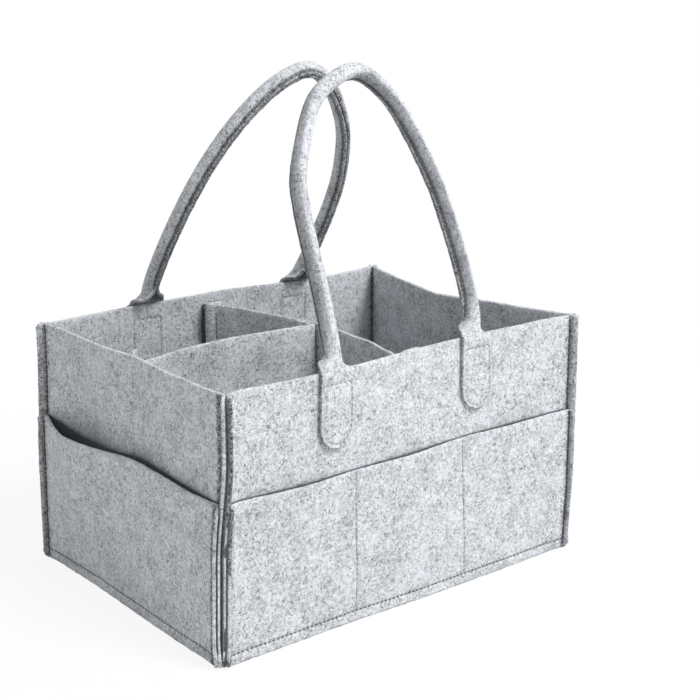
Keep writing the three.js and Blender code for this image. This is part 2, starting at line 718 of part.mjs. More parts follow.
const east = new THREE.Vector2(1, 0);
const north = new THREE.Vector2(0, 1);
tape('cross_divider_back_tape', new THREE.Vector2(CROSS_BACK_X, crossBackY), east, north);
tape('cross_divider_front_tape', new THREE.Vector2(CROSS_FRONT_X, crossFrontY), east, north.clone().negate());
tape('wing_tape', new THREE.Vector2(wingEndX, WING_END_Y), north, east.clone().negate());

// Stitch rows of the divider: beside both folds of the cross wall and on the wing's flap.
function uprightRow(name, point, facing) {
  const seat = point.clone().addScaledVector(facing, FELT / 2 + THREAD_OFF);
  const along = new THREE.Vector3(-facing.y, facing.x, 0);
  const heights = [DIVIDER_FOOT + HEM, DIVIDER_TOP - HEM];
  const points = heights.map((height) => new THREE.Vector3(seat.x, seat.y, height));
  addPiece(caddy, name, threadRidge(points, along, THREAD_WIDTH, THREAD_HEIGHT), threadMaterial);
}

// A row on the outer side of one straight span of a plan line.
function rowOnSpan(name, from, to, place) {
  const way = to.clone().sub(from).normalize();
  uprightRow(name, from.clone().lerp(to, place), new THREE.Vector2(way.y, -way.x));
}

const MIDDLE = 0.5;
rowOnSpan('cross_divider_back_seam', backFold, lipEnd, 1 - LIP_STITCH_INSET / CROSS_LIP);
rowOnSpan('cross_divider_front_seam', crossLine.at(-3), crossLine.at(-2), MIDDLE);
rowOnSpan('wing_flap_seam', flapLine[1], flapLine[2], MIDDLE);

export default caddy;
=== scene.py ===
"""Felt diaper caddy: the sewn felt pieces, their stitching and the studio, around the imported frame."""
import math

import bpy
import numpy as np
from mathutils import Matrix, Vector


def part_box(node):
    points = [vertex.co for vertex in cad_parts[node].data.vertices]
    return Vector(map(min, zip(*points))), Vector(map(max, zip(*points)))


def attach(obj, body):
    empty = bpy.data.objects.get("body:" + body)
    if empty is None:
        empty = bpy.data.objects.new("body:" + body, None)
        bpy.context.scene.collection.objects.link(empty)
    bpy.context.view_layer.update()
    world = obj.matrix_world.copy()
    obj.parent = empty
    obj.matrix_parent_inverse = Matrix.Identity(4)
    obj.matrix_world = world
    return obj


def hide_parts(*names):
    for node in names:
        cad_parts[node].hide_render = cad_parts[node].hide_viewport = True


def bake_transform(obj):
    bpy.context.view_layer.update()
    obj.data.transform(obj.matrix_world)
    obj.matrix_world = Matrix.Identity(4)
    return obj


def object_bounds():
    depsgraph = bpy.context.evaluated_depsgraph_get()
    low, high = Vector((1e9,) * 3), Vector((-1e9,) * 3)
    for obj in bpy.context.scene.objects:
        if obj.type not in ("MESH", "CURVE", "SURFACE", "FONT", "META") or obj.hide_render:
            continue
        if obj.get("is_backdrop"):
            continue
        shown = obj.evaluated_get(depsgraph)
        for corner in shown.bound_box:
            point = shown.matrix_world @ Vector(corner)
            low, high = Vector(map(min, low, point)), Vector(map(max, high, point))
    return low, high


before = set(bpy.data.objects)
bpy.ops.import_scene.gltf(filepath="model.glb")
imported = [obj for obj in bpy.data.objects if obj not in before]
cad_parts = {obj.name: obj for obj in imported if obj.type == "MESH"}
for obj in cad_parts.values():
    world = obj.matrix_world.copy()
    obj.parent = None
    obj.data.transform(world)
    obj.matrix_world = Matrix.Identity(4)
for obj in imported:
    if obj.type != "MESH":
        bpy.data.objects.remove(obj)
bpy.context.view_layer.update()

# Side panels: four sheets of 3 mm heathered needle felt, cut flat with raw edges. Their upright
# edges turn out along each corner's diagonal and are sewn to the neighbour's as a standing fin.
# The soft box has sat down a little out of square.
MM = 0.001
LENGTH, WIDTH, HEIGHT = 330.0, 240.0, 192.0
FELT = 3.0
LAYER_STEP = 3.3
CORNER_FIN = 7.0
FIN_FELT = 2.6
FIN_GAP, FIN_LAYER_GAP = 0.2, 0.1
FIN_FAN = 1.1
SEAM_CLOSED, CLOSED_WIDTH = 0.17, 1.5
FIN_BEND = 2.8
FIN_TURN = 45.0
NEAR_FIN_TURNS = {("front", -1): 57.0, ("left_end", 1): 33.0}
SEAM_FLARE, FLARE_REACH = 1.5, 9.0
TOP_ROUNDING, NEAR_TOP_ROUNDING, FOOT_ROUNDING = 1.5, 7.0, 4.6
RAW_EDGE = 1.3
FLOOR_TOP = 14.0
HEM_LINE = 8.0
HEM_FLARE = 1.3
FRONT_WAVE, BACK_WAVE = 5.0, -6.0
RIM_DRAW_IN = 1.4
BOTTOM_SWELL = 4.0
END_FOLD = 25.0
FOLD_ROUNDING = 0.12
WALL_PULL, PULL_REACH = 3.5, 26.0
GAPE_SAG, GAPE_PLACE, GAPE_SIZE = 7.0, (-62.0, 112.0), (34.0, 30.0)
NEAR_CORNER, SKEW_REACH = (-168.0, -124.0), 15.0
SKEW_TOP, SKEW_WAY = 5.2, (0.8, -0.6)
FOOT_SPREAD, NEAR_SPREAD, FRONT_SPREAD = 1.0, 5.0, 5.8
FAR_LEAN, RIGHT_SPREAD = 2.4, 2.4
RIPPLE_WAVES, PANEL_RIPPLE = 8, 0.45
GRID, FIRST_COLUMN = 3.6, 0.9
FINE_STEPS, FINE_REACH = (-2.6, -1.5, -0.8, 0, 0.8, 1.5, 2.6), 3.2
STITCH_WIDTH = 1.0
STITCH_DEPTH = 0.85
FAINT_DEPTH = 0.22
VALLEY_DEPTH, VALLEY_WIDTH, FOLD_LINE = 1.8, 1.4, 1.4
CORNER_ROW = 1.4
DIAGONAL = math.sqrt(0.5)
EDGE_RINGS = ((0.26, 0.74), (0.34, 0.0), (0.26, -0.74))
# Upward raw edges are painted a little paler, as light from above.
PAINTED_RIM_LIGHT = -0.1
FELT_PALE = (0.68, 0.705, 0.74, 1)
FELT_DEEP = (0.04, 0.044, 0.052, 1)
FELT_FIBRE = (0.84, 0.855, 0.88, 1)


class Wire:
    """A value in a node tree. Arithmetic on it adds Math nodes."""

    def __init__(self, tree, socket=None):
        self.tree = tree
        self.socket = socket

    def make(self, kind, settings=None, inputs=None, output=0):
        node = self.tree.nodes.new(kind)
        for key, value in (settings or {}).items():
            setattr(node, key, value)
        for key, value in (inputs or {}).items():
            if isinstance(value, Wire):
                value.feed(node, key)
            else:
                node.inputs[key].default_value = value
        return Wire(self.tree, node.outputs[output])

    def feed(self, node, key):
        self.tree.links.new(self.socket, node.inputs[key])

    def math(self, operation, *values):
        return self.make("ShaderNodeMath", {"operation": operation}, dict(enumerate(values)))

    def __add__(self, other):
        return self.math("ADD", self, other)

    def __sub__(self, other):
        return self.math("SUBTRACT", self, other)

    def __rsub__(self, other):
        return self.math("SUBTRACT", other, self)

    def __mul__(self, other):
        return self.math("MULTIPLY", self, other)

    __radd__ = __add__
    __rmul__ = __mul__

    def clamped(self):
        return self.make("ShaderNodeClamp", inputs={0: self})

    def noise(self, place, scale, detail=2.0, roughness=0.5, output=0):
        inputs = {"Vector": place, "Scale": scale, "Detail": detail, "Roughness": roughness}
        return self.make("ShaderNodeTexNoise", inputs=inputs, output=output)

    def moved(self, place, by, size):
        away = self.make("ShaderNodeVectorMath", {"operation": "SUBTRACT"}, {0: by, 1: (0.5, 0.5, 0.5)})
        step = self.make("ShaderNodeVectorMath", {"operation": "SCALE"}, {0: away, "Scale": size})
        return self.make("ShaderNodeVectorMath", {"operation": "ADD"}, {0: place, 1: step})

    def mixed(self, share, first, second):
        return self.make("ShaderNodeMix", {"data_type": "RGBA"}, {0: share, 6: first, 7: second}, 2)

    def strands(self, place, scale, fineness):
        """Thin winding lines, broken up along their length."""
        level = self.noise(place, scale, 1.5)
        line = (1 - self.math("ABSOLUTE", level - 0.5) * fineness).clamped()
        return line * ((self.noise(place, scale * 1.7, 1.0) - 0.44) * 7).clamped()


def new_finish(name):
    """A new material, its shader, its wires and the places on the piece."""
    material = bpy.data.materials.new(name)
    material.use_nodes = True
    wires = Wire(material.node_tree)
    place = wires.make("ShaderNodeTexCoord", output="Object")
    return material, material.node_tree.nodes["Principled BSDF"], wires, place


def felt_finish(name):
    """Matt felt of pale and dark fibres, darker on raw edges, partly by their own tone and partly as
    painted shade, with painted shade where the mesh marks it and upward edges painted paler.
    """
    material, shader, felt, place = new_finish(name)
    bent = felt.moved(place, felt.noise(place, 210, 2, output=1), 0.006)
    blotch = felt.noise(place, 75, 3, 0.55)
    mottle = felt.noise(bent, 380, 3, 0.62)
    speck = felt.noise(bent, 900, 2, 0.6)
    curled = felt.moved(place, felt.noise(place, 160, 2, output=1), 0.01)
    dark_fibre = (felt.strands(bent, 300, 18) + felt.strands(curled, 520, 15)).clamped()
    pale_fibre = (felt.strands(curled, 360, 20) + felt.strands(bent, 610, 15)).clamped()
    tone_and_painted_light = felt.make("ShaderNodeAttribute", {"attribute_name": "edge_tone_and_painted_light"}, output="Fac")
    shaded = felt.make("ShaderNodeAttribute", {"attribute_name": "shaded"}, output="Fac").clamped()
    tone = 0.80 + (blotch - 0.5) * 0.74 + (mottle - 0.5) * 1.56 + (speck - 0.5) * 1.06
    # Raw edges darker, partly their own tone and partly painted shade; painted shade on marked folds, fins
    # and flanges; upward edges painted paler as light.
    tone = tone - dark_fibre * 0.50 - tone_and_painted_light * (0.42 + (0.5 - speck) * 1.1)
    body = felt.mixed(tone.clamped(), FELT_DEEP, FELT_PALE)
    colour = felt.mixed(pale_fibre * 0.5, body, FELT_FIBRE)
    # Painted shade where the mesh is marked as shaded: deep in the pockets and on the handles.
    colour = felt.mixed(shaded * shaded * 0.9, colour, FELT_DEEP)
    height = mottle * 0.55 + speck * 0.5 + pale_fibre * 0.22 - dark_fibre * 0.22 + blotch * 0.5
    bump = felt.make("ShaderNodeBump", inputs={"Strength": 0.55, "Distance": 0.0007, "Height": height})
    colour.feed(shader, "Base Color")
    bump.feed(shader, "Normal")
    shader.inputs["Roughness"].default_value = 0.95
    shader.inputs["Specular IOR Level"].default_value = 0.12
    shader.inputs["Sheen Weight"].default_value = 0.12
    shader.inputs["Sheen Roughness"].default_value = 0.6
    return material


felt_grey = felt_finish("felt_grey")


def eased(value, start, end):
    """0 at start and 1 at end, smooth between them and level beyond."""
    held = np.clip((value - start) / (end - start), 0.0, 1.0)
    return held * held * (3 - 2 * held)


def spread(start, stop, step, fine=()):
    """Places from start to stop, closer together round each fine one."""
    places = list(np.linspace(start, stop, max(2, int(round((stop - start) / step)) + 1)))
    for place in fine:
        near = [p for p in (place + off for off in FINE_STEPS) if start < p < stop]
        places = [p for p in places if p in (start, stop) or abs(p - place) > FINE_REACH] + near
    return np.unique(np.round(places, 4))


def ripple(along, height, seed, size):
    """The unevenness of a soft sheet, in mm."""
    draw = np.random.default_rng(seed)
    total = np.zeros(np.broadcast(along, height).shape)
    for _ in range(RIPPLE_WAVES):
        turn = draw.uniform(0, math.pi)
        wave = draw.uniform(26, 95)
        start = draw.uniform(0, 2 * math.pi)
        total += np.sin(2 * math.pi * (along * math.cos(turn) + height * math.sin(turn)) / wave + start)
    return size * total / math.sqrt(RIPPLE_WAVES)


def dent(x, z, path, depth=STITCH_DEPTH, width=STITCH_WIDTH):
    """How deep a row of stitches pulls the felt in, at each place of a sheet."""
    nearest = np.full(np.broadcast(x, z).shape, np.inf)
    for (x0, z0), (x1, z1) in zip(path[:-1], path[1:]):
        dx, dz = x1 - x0, z1 - z0
        share = np.clip(((x - x0) * dx + (z - z0) * dz) / max(dx * dx + dz * dz, 1e-9), 0, 1)
        nearest = np.minimum(nearest, np.hypot(x - x0 - share * dx, z - z0 - share * dz))
    return depth * np.exp(-(nearest / width) ** 2)


def mark_points(mesh, name, values):
    """Keeps one number for each point of a mesh, which its material reads."""
    marks = mesh.attributes.new(name, "FLOAT", "POINT")
    marks.data.foreach_set("value", np.asarray(values, np.float32))


def in_scene(name, data):
    """A new object for a mesh, a lamp or a camera, linked to the scene."""
    thing = bpy.data.objects.new(name, data)
    bpy.context.scene.collection.objects.link(thing)
    return thing


def mesh_piece(name, points, faces, material, tone_and_painted_light):
    mesh = bpy.data.meshes.new(name)
    mesh.from_pydata([tuple(p) for p in np.asarray(points) * MM], [], faces)
    mesh.materials.append(material)
    mesh.shade_smooth()
    # The felt's mark for the raw edges' own tone and for painted light and shade.
    mark_points(mesh, "edge_tone_and_painted_light", tone_and_painted_light)
    return in_scene(name, mesh)


def unit(vectors):
    return vectors / np.maximum(np.linalg.norm(vectors, axis=-1, keepdims=True), 1e-9)


def felt_sheet(name, middle, thickness=FELT, pressed_out=0.0, pressed_in=0.0, material=felt_grey, seed=1,
               painted_shade=0.0, edge_tone_and_shade=1.0):
    """A closed sheet over a grid of middle points (rows up, columns along), with rounded raw edges.

    The face marks are painted shade, 1 where a face is painted darker. The edge marks are 1 where a raw
    edge is darker, partly its own tone and partly painted shade, and below 0 where it is painted paler as
    light."""
    rows, columns = middle.shape[:2]
    along = np.gradient(middle, axis=1)
    upward = np.gradient(middle, axis=0)
    normal = unit(np.cross(along, upward))
    half = thickness / 2
    outer = middle + normal * (half - np.broadcast_to(pressed_out, (rows, columns)))[..., None]
    inner = middle - normal * (half - np.broadcast_to(pressed_in, (rows, columns)))[..., None]
    loop = [(0, c) for c in range(columns)] + [(r, columns - 1) for r in range(1, rows)]
    loop += [(rows - 1, c) for c in range(columns - 2, -1, -1)] + [(r, 0) for r in range(rows - 2, 0, -1)]
    r, c = np.array(loop).T
    ahead = (c == columns - 1).astype(float) - (c == 0)
    above = (r == rows - 1).astype(float) - (r == 0)
    out = unit(unit(along[r, c]) * ahead[:, None] + unit(upward[r, c]) * above[:, None])
    draw = np.random.default_rng(seed)
    points = [outer.reshape(-1, 3), inner.reshape(-1, 3)]
    for reach, level in EDGE_RINGS:
        fray = reach * thickness * draw.uniform(0.65, 1.22, (len(loop), 1))
        points.append(middle[r, c] + out * fray + normal[r, c] * level * half)
    size = rows * columns
    faces = []
    for row in range(rows - 1):
        for column in range(columns - 1):
            a = row * columns + column
            b = size + a
            faces.append((a, a + 1, a + columns + 1, a + columns))
            faces.append((b, b + columns, b + columns + 1, b + 1))
    edge = r * columns + c
    ring_points = [2 * size + k * len(loop) + np.arange(len(loop)) for k in range(len(EDGE_RINGS))]
    bands = [edge, *ring_points, size + edge]
    for upper, lower in zip(bands[:-1], bands[1:]):
        corners = (upper, lower, np.roll(lower, -1), np.roll(upper, -1))
        faces.extend(zip(*(corner.tolist() for corner in corners)))
    painted_face_shade = np.broadcast_to(painted_shade, (rows, columns)).ravel()
    rim_tone_and_light = np.broadcast_to(edge_tone_and_shade, (rows, columns)).ravel()[edge]
    # Raw edges that face up are painted paler, as light from above.
    rim_tone_and_light = np.where(out[:, 2] > 0.5, PAINTED_RIM_LIGHT, rim_tone_and_light)
    tone_and_painted_light = np.concatenate([painted_face_shade, painted_face_shade, np.tile(rim_tone_and_light, len(EDGE_RINGS))])
    return mesh_piece(name, np.concatenate(points), faces, material, tone_and_painted_light)


def layer_depth(layer):
    return FELT / 2 - layer * LAYER_STEP


def bow_reach(span, layer):
    """Half the stretch of a side over which it bows, from fin to fin."""
    return span / 2 - layer_depth(layer) - LAYER_STEP * (layer + 0.5) / DIAGONAL


def fin_shape(side, hand, layer):
    """A fin's turn from its side, how far along the side it starts, and its length."""
    turn = math.radians(NEAR_FIN_TURNS.get((side, hand), FIN_TURN))
    depth = layer_depth(layer) - SEAM_FLARE
    offset = FIN_GAP / 2 + (FIN_FELT + FIN_LAYER_GAP) * (layer + 0.5)
    root = SIDES[side][0] / 2 - depth / math.tan(turn) - offset / math.sin(turn)
    return turn, root, CORNER_FIN + (depth + offset * math.cos(turn)) / math.sin(turn) - RAW_EDGE


def height_share(height, top):
    return np.maximum(0.0, (height - FLOOR_TOP) / (top - FLOOR_TOP))


def share_along(along, span, layer):
    return np.clip(0.5 + along / (2 * bow_reach(span, layer)), 0.0, 1.0)


def long_side_bow(wave):
    def bow(along, height, layer=0):
        place = share_along(along, LENGTH, layer)
        at_rim = wave * np.sin(2 * math.pi * place) - RIM_DRAW_IN * np.sin(math.pi * place)
        at_foot = BOTTOM_SWELL * np.sin(math.pi * place)
        risen = height_share(height, HEIGHT)
        return risen * at_rim + (1 - risen) * at_foot
    return bow


def folded_end_bow(along, height, _layer=0):
    off_middle = np.hypot(2 * share_along(along, WIDTH, 0) - 1, FOLD_ROUNDING)
    off_edge = math.hypot(1, FOLD_ROUNDING)
    folded = (off_edge - off_middle) / (off_edge - FOLD_ROUNDING)
    return -END_FOLD * height_share(height, HEIGHT) * folded


def pulled_end_bow(along, height, layer=0):
    near_tape = np.exp(-((along - TAPE_ROWS["left_end"]) / PULL_REACH) ** 2)
    drawn_in = RIM_DRAW_IN * np.sin(math.pi * share_along(along, WIDTH, layer))
    gape_along = (along - GAPE_PLACE[0]) / GAPE_SIZE[0]
    gape_up = (height - GAPE_PLACE[1]) / GAPE_SIZE[1]
    sag = GAPE_SAG * np.exp(-gape_along ** 2 - gape_up ** 2)
    return -WALL_PULL * near_tape * eased(height, 20, 90) - drawn_in * height_share(height, HEIGHT) - sag


SIDES = {
    "front": (LENGTH, WIDTH / 2, 0.0, long_side_bow(FRONT_WAVE)),
    "right_end": (WIDTH, LENGTH / 2, math.pi / 2, folded_end_bow),
    "back": (LENGTH, WIDTH / 2, math.pi, long_side_bow(BACK_WAVE)),
    "left_end": (WIDTH, LENGTH / 2, -math.pi / 2, pulled_end_bow),
}


def settled(points):
    """Points of the true box moved to where the soft box has sat down, a little out of square."""
    x, y, z = np.moveaxis(np.asarray(points, float), -1, 0)
    near = np.exp(-(np.hypot(x - NEAR_CORNER[0], y - NEAR_CORNER[1]) / SKEW_REACH) ** 2)
    skew = near * SKEW_TOP * eased(z, 75, 150)
    low = eased(z, 110, 0)
    high = eased(z, 90, 170)
    left = eased(-x, 60, 165)
    right = eased(x, 60, 165)
    front = eased(-y, 20, 120)
    back = eased(y, 20, 120)
    spread_left = low * (FOOT_SPREAD + NEAR_SPREAD * eased(y, 60, -100)) - high * back * FAR_LEAN
    across = SKEW_WAY[0] * skew - left * spread_left + right * front * RIGHT_SPREAD * eased(z, 0, 60)
    inwards = SKEW_WAY[1] * skew - front * low * FRONT_SPREAD * eased(-x, 45, 165)
    return np.stack([x + across, y + inwards, z], -1)


def stand(side, points):
    """Points of a side's own frame (x along it, -y outwards) set where the side stands."""
    _, away, turn, _ = SIDES[side]
    x, y, z = np.moveaxis(np.asarray(points, float), -1, 0)
    cos, sin = math.cos(turn), math.sin(turn)
    return settled(np.stack([x * cos - y * sin + sin * away, x * sin + y * cos - cos * away, z], -1))


def hem_flare(height):
    return HEM_FLARE * np.clip(1 - height / HEM_LINE, 0, 1) ** 1.5


def side_surface(side, layer, bow, along, height):
    """How far out a side's layer stands, as y in the side's own frame."""
    span = SIDES[side][0]
    seed = sum(map(ord, side))
    held = np.sin(math.pi * share_along(along, span, layer)) ** 0.5
    uneven = ripple(along, height, seed, PANEL_RIPPLE) * held * np.clip(height / 20, 0, 1)
    flare = 0
    for hand in (-1, 1):
        inside_fin = np.maximum(fin_shape(side, hand, layer)[1] - hand * along, 0)
        flare = flare + SEAM_FLARE * np.exp(-(inside_fin / FLARE_REACH) ** 2)
    return layer_depth(layer) - bow(along, height, layer) - hem_flare(height) * held - uneven - flare


def fin_columns(side, hand, layer):
    """A fin's columns beyond its side, each with its place in plan and its way to fan out.

    The rows are x, outwards, past the fold, short of the tip, fan along and fan outwards."""
    turn, root, length = fin_shape(side, hand, layer)
    reach = FIN_BEND * math.tan(turn / 2)
    turns = np.linspace(0, turn, 5)[1:]
    steps = np.linspace(reach, length, 8)[1:]
    x = np.concatenate([root - reach + FIN_BEND * np.sin(turns), root + steps * math.cos(turn)])
    out = np.concatenate([FIN_BEND * (np.cos(turns) - 1), -steps * math.sin(turn)])
    beyond = np.concatenate([(turns - turn / 2) * FIN_BEND, steps])
    fan = -FIN_FAN * eased(beyond, CORNER_ROW, length)
    fan_along = fan * math.sin(turn) * hand
    return np.array([x * hand, out, beyond, length - beyond, fan_along, fan * math.cos(turn)])


def rounded_off(from_tip, radius):
    near = np.clip(radius - from_tip, 0, radius)
    return radius - np.sqrt(radius ** 2 - near ** 2)


def side_sheet(name, side, layer, bow, top, rows_out, rows_in, fine_along, fine_height, crest):
    """A side panel or pocket with its two fins, dented along its rows of stitches.

    A row is a path of places and the depth of its dent. crest lifts the top edge along the side."""
    left, right = (fin_columns(side, hand, layer) for hand in (-1, 1))
    left_root, right_root = (fin_shape(side, hand, layer)[1] for hand in (-1, 1))
    panel = spread(left[0, 0] + FIRST_COLUMN, right[0, 0] - FIRST_COLUMN, GRID, fine_along)
    past_fold = np.maximum(panel - right_root, -panel - left_root)
    level = np.zeros(len(panel))
    on_panel = np.array([panel, level, past_fold, level + HEIGHT, level, level])
    x, out, valley, from_tip, fan_x, fan_out = np.concatenate([left[:, ::-1], on_panel, right], axis=1)
    along = np.clip(x, -left_root, right_root)
    near_rounding = NEAR_TOP_ROUNDING if (side, 1) in NEAR_FIN_TURNS else TOP_ROUNDING
    top_off = rounded_off(from_tip, np.where(x > 0, near_rounding, TOP_ROUNDING))
    foot_off = rounded_off(from_tip, FOOT_ROUNDING)
    heights = spread(RAW_EDGE, top - RAW_EDGE, GRID, fine_height)
    share = ((heights - heights[0]) / (heights[-1] - heights[0]))[:, None]
    z = heights[:, None] + foot_off * (1 - share) + share * (share * crest(along) - top_off)
    opened = eased(z, 4, 20)
    lie = side_surface(side, layer, bow, along[None, :], z) + out + fan_out * opened
    middle = stand(side, np.stack([x + fan_x * opened, lie, z], -1))
    thinned = (FELT - FIN_FELT) / 2 * eased(valley, -1, 1)
    pinch = thinned + VALLEY_DEPTH * np.exp(-((valley - CORNER_ROW) / VALLEY_WIDTH) ** 2)
    closed = SEAM_CLOSED if layer == 0 else 0
    shut = thinned - closed * np.exp(-((valley - CORNER_ROW) / CLOSED_WIDTH) ** 2)
    press_out = np.broadcast_to(pinch, z.shape)
    press_in = np.broadcast_to(shut, z.shape)
    for path, depth in rows_out:
        press_out = np.maximum(press_out, dent(x[None, :], z, path, depth))
    for path, depth in rows_in:
        press_in = np.maximum(press_in, dent(x[None, :], z, path, depth))
    # At the near corner the left end's fold is painted darker as shade and its cut edge paler as light, and
    # the front's edge darker as shade.
    near_left = (side == "left_end") & (x > 0)
    near_front = (side == "front") & (x < 0)
    # Painted shade along each fin's fold line and on the fin past it.
    in_fold = np.exp(-((valley + np.where(near_left, 1.7, 0.1)) / FOLD_LINE) ** 2)
    painted_shade = 0.7 * eased(valley, 1, 3) + np.where(near_left, 2.4, 1.5) * in_fold
    edge_tone_and_shade = np.where(near_left, 0.25, np.where(near_front, 1.8, 1.0))
    seed = sum(map(ord, name))
    return felt_sheet(name, middle, FELT, press_out, press_in, felt_grey, seed, painted_shade, edge_tone_and_shade)


def cut_width(side, layer):
    """A side sheet's width when cut, with both fins laid flat."""
    fins = [fin_shape(side, hand, layer) for hand in (-1, 1)]
    return sum(root + length + RAW_EDGE for _, root, length in fins)


TAB_CENTRE, TAB_WIDTH, TAB_DROP = 70.0, 31.0, 56.0
TAB_INSET, TAB_ROW_DROPS = 3.0, {"front": 9.0, "back": 12.0}
TAPE_ROWS = {"front": 6.0, "back": 11.0, "left_end": 10.0}
TAPE_WIDTH, TAPE_FOOT, TAPE_HEAD, TAPE_INSET = 18.0, 75.0, 185.0, 2.0


def tab_row(centre, side):
    """The loop of stitches that holds a handle's tab, as places on its side."""
    radius = TAB_WIDTH / 2 - TAB_INSET
    foot = HEIGHT - TAB_DROP + TAB_WIDTH / 2
    top = HEIGHT - TAB_ROW_DROPS[side]
    turns = np.linspace(0, math.pi, 25)
    path = [(centre - radius, top), (centre, top), (centre + radius, top)]
    path += [(centre + radius * math.cos(t), foot - radius * math.sin(t)) for t in turns]
    return path + path[:1]


def tape_row(side):
    """The outline of stitches round a wall's loop tape, as places on its side."""
    left, right = (TAPE_ROWS[side] + hand * (TAPE_WIDTH / 2 - TAPE_INSET) for hand in (-1, 1))
    low, high = TAPE_FOOT + TAPE_INSET, TAPE_HEAD - TAPE_INSET
    return [(left, high), (right, high), (right, low), (left, low), (left, high)]


# How far each rim stands above a straight cut, from the place along it.
RIM_CRESTS = {
    "front": lambda along: 1.6 * eased(along, 110, 155),
    "right_end": lambda along: 2.0 * eased(along, 10, -40),
    "back": lambda along: 2.6 * np.exp(-((along + 15) / 60) ** 2),
    "left_end": lambda along: 0.0 * along,
}
for side, (span, _, _, bow) in SIDES.items():
    rows_out = [(tape_row(side), FAINT_DEPTH)] if side in TAPE_ROWS else []
    tabs = [tab_row(c, side) for c in (-TAB_CENTRE, TAB_CENTRE)] if span == LENGTH else []
    rows_in = rows_out + [(path, STITCH_DEPTH) for path in tabs]
    fine_along = [x for path, _ in rows_out for x in (path[0][0], path[1][0])]
    fine_along += [x for path in tabs for x in (path[0][0], path[2][0])]
    fine_height = [HEIGHT - TAB_ROW_DROPS[side]] if span == LENGTH else [TAPE_HEAD - TAPE_INSET]
    panel = side_sheet(f"{side}_felt", side, 0, bow, HEIGHT, rows_out, rows_in, fine_along, fine_height,
                       RIM_CRESTS[side])
    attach(panel, "caddy")
    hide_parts(f"{side}_panel")
    cut_width(side, 0) * MM

# Floor: one felt sheet inside the box, its edges turned down between the panels and caught in
# the hem seams, so that it lies a little above the table.
FLOOR_RING = 44
SKIRT_FOOT, SKIRT_INSET = 1.2, FELT / 2 + 0.4
PLATE_LEVEL = FLOOR_TOP - FELT / 2
FLOOR_BEND = 3.0
FLOOR_RIPPLE = 0.25
CORNER_REACH, CORNER_DRAW_IN = 7.0, 2.0


def floor_outline(inset):
    """The line just inside the panels, as (x, y) points round the box."""
    points = []
    for span, away, turn, bow in SIDES.values():
        reach = span / 2 - LAYER_STEP - inset
        along = np.linspace(-reach, reach, FLOOR_RING, endpoint=False)
        corner = np.clip((reach - np.abs(along)) / CORNER_REACH, 0, 1)
        soft = CORNER_DRAW_IN * (1 - np.sqrt(np.clip(1 - (1 - corner) ** 2, 0, 1)))
        out = away - LAYER_STEP - inset - soft + np.maximum(bow(along, FLOOR_TOP), 0) * corner
        cos, sin = math.cos(turn), math.sin(turn)
        points.append(np.stack([along * cos + out * sin, along * sin - out * cos], -1))
    return np.concatenate(points)


skirt = [(SKIRT_INSET, z) for z in np.linspace(SKIRT_FOOT, PLATE_LEVEL - FLOOR_BEND, 4)]
bend = [(SKIRT_INSET + FLOOR_BEND * (1 - math.cos(t)), PLATE_LEVEL - FLOOR_BEND * (1 - math.sin(t)))
        for t in np.linspace(0, math.pi / 2, 6)[1:]]
count = 4 * FLOOR_RING
rings = [np.column_stack([floor_outline(inset), np.full(count, z)]) for inset, z in skirt + bend]
plate = rings[-1]
for scale in np.linspace(1, 0.05, 26)[1:]:
    ring = plate * (scale, scale, 1)
    ring[:, 2] = plate[:, 2] + ripple(ring[:, 0], ring[:, 1], 5, FLOOR_RIPPLE) * (1 - scale)
    rings.append(ring)
floor_middle = settled(np.array(rings))
around = np.roll(floor_middle, -1, 1) - np.roll(floor_middle, 1, 1)
floor_normal = unit(np.cross(around, np.gradient(floor_middle, axis=0)))
floor_points = np.concatenate([(floor_middle + floor_normal * FELT / 2).reshape(-1, 3),
                               (floor_middle - floor_normal * FELT / 2).reshape(-1, 3)])
floor_faces = []
under = len(rings) * count
for ring in range(len(rings) - 1):
    for k in range(count):
        a, b = ring * count + k, ring * count + (k + 1) % count
        floor_faces.append((a, b, b + count, a + count))
        floor_faces.append((under + a, under + a + count, under + b + count, under + b))
last = (len(rings) - 1) * count
floor_faces.append(tuple(range(last, last + count)))
floor_faces.append(tuple(range(under + last + count - 1, under + last - 1, -1)))
for k in range(count):
    a, b = k, (k + 1) % count
    floor_faces.append((a, under + a, under + b, b))
floor_raw = np.zeros(len(floor_points))
floor_raw[:count] = 1
floor_piece = mesh_piece("floor_felt", floor_points, floor_faces, felt_grey, floor_raw)
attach(floor_piece, "caddy")
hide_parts("floor_panel")

# Pockets: a lower felt sheet outside each panel, caught in the same corner fins and hem. Two
# upright rows part each long side into three pockets, and the end pockets stand open.
POCKET_HEIGHT = 115.0
LONG_POCKETS = 3
LONG_POCKET_SWELL = 3.2
LONG_POCKET_RISE = 2.0
END_MOUTH = [(0, 0), (0.03, 3.4), (0.06, 5.8), (0.12, 9.2), (0.2, 11.8), (0.33, 9.8), (0.46, 5.4),
             (0.6, 4.0), (0.78, 4.0), (0.92, 3.4), (1, 0)]
END_CREST = [(0, 4.6), (0.05, 3.2), (0.12, 1.8), (0.2, 0.8), (0.4, 2.2), (0.58, 5.0), (0.8, 2.6),
             (0.93, 1.0), (1, 0)]
SHADE_ABOVE, SHADE_DEPTH, SHADE_PER_GAP = 1.4, 1.9, 0.34


def smooth_course(points, count=16):
    """A smooth line through given points."""
    points = np.asarray(points, float)
    held = np.vstack([2 * points[0] - points[1], points, 2 * points[-1] - points[-2]])
    line = []
    for a, b, c, d in zip(held[:-3], held[1:-2], held[2:-1], held[3:]):
        for t in np.linspace(0, 1, count, endpoint=False):
            line.append((2 * b + (c - a) * t + (2 * a - 5 * b + 4 * c - d) * t ** 2
                         + (3 * b - a - 3 * c + d) * t ** 3) / 2)
    return np.array(line + [points[-1]])


def level_of(course, places):
    x, y = smooth_course(course).T
    return np.interp(places, x, y)


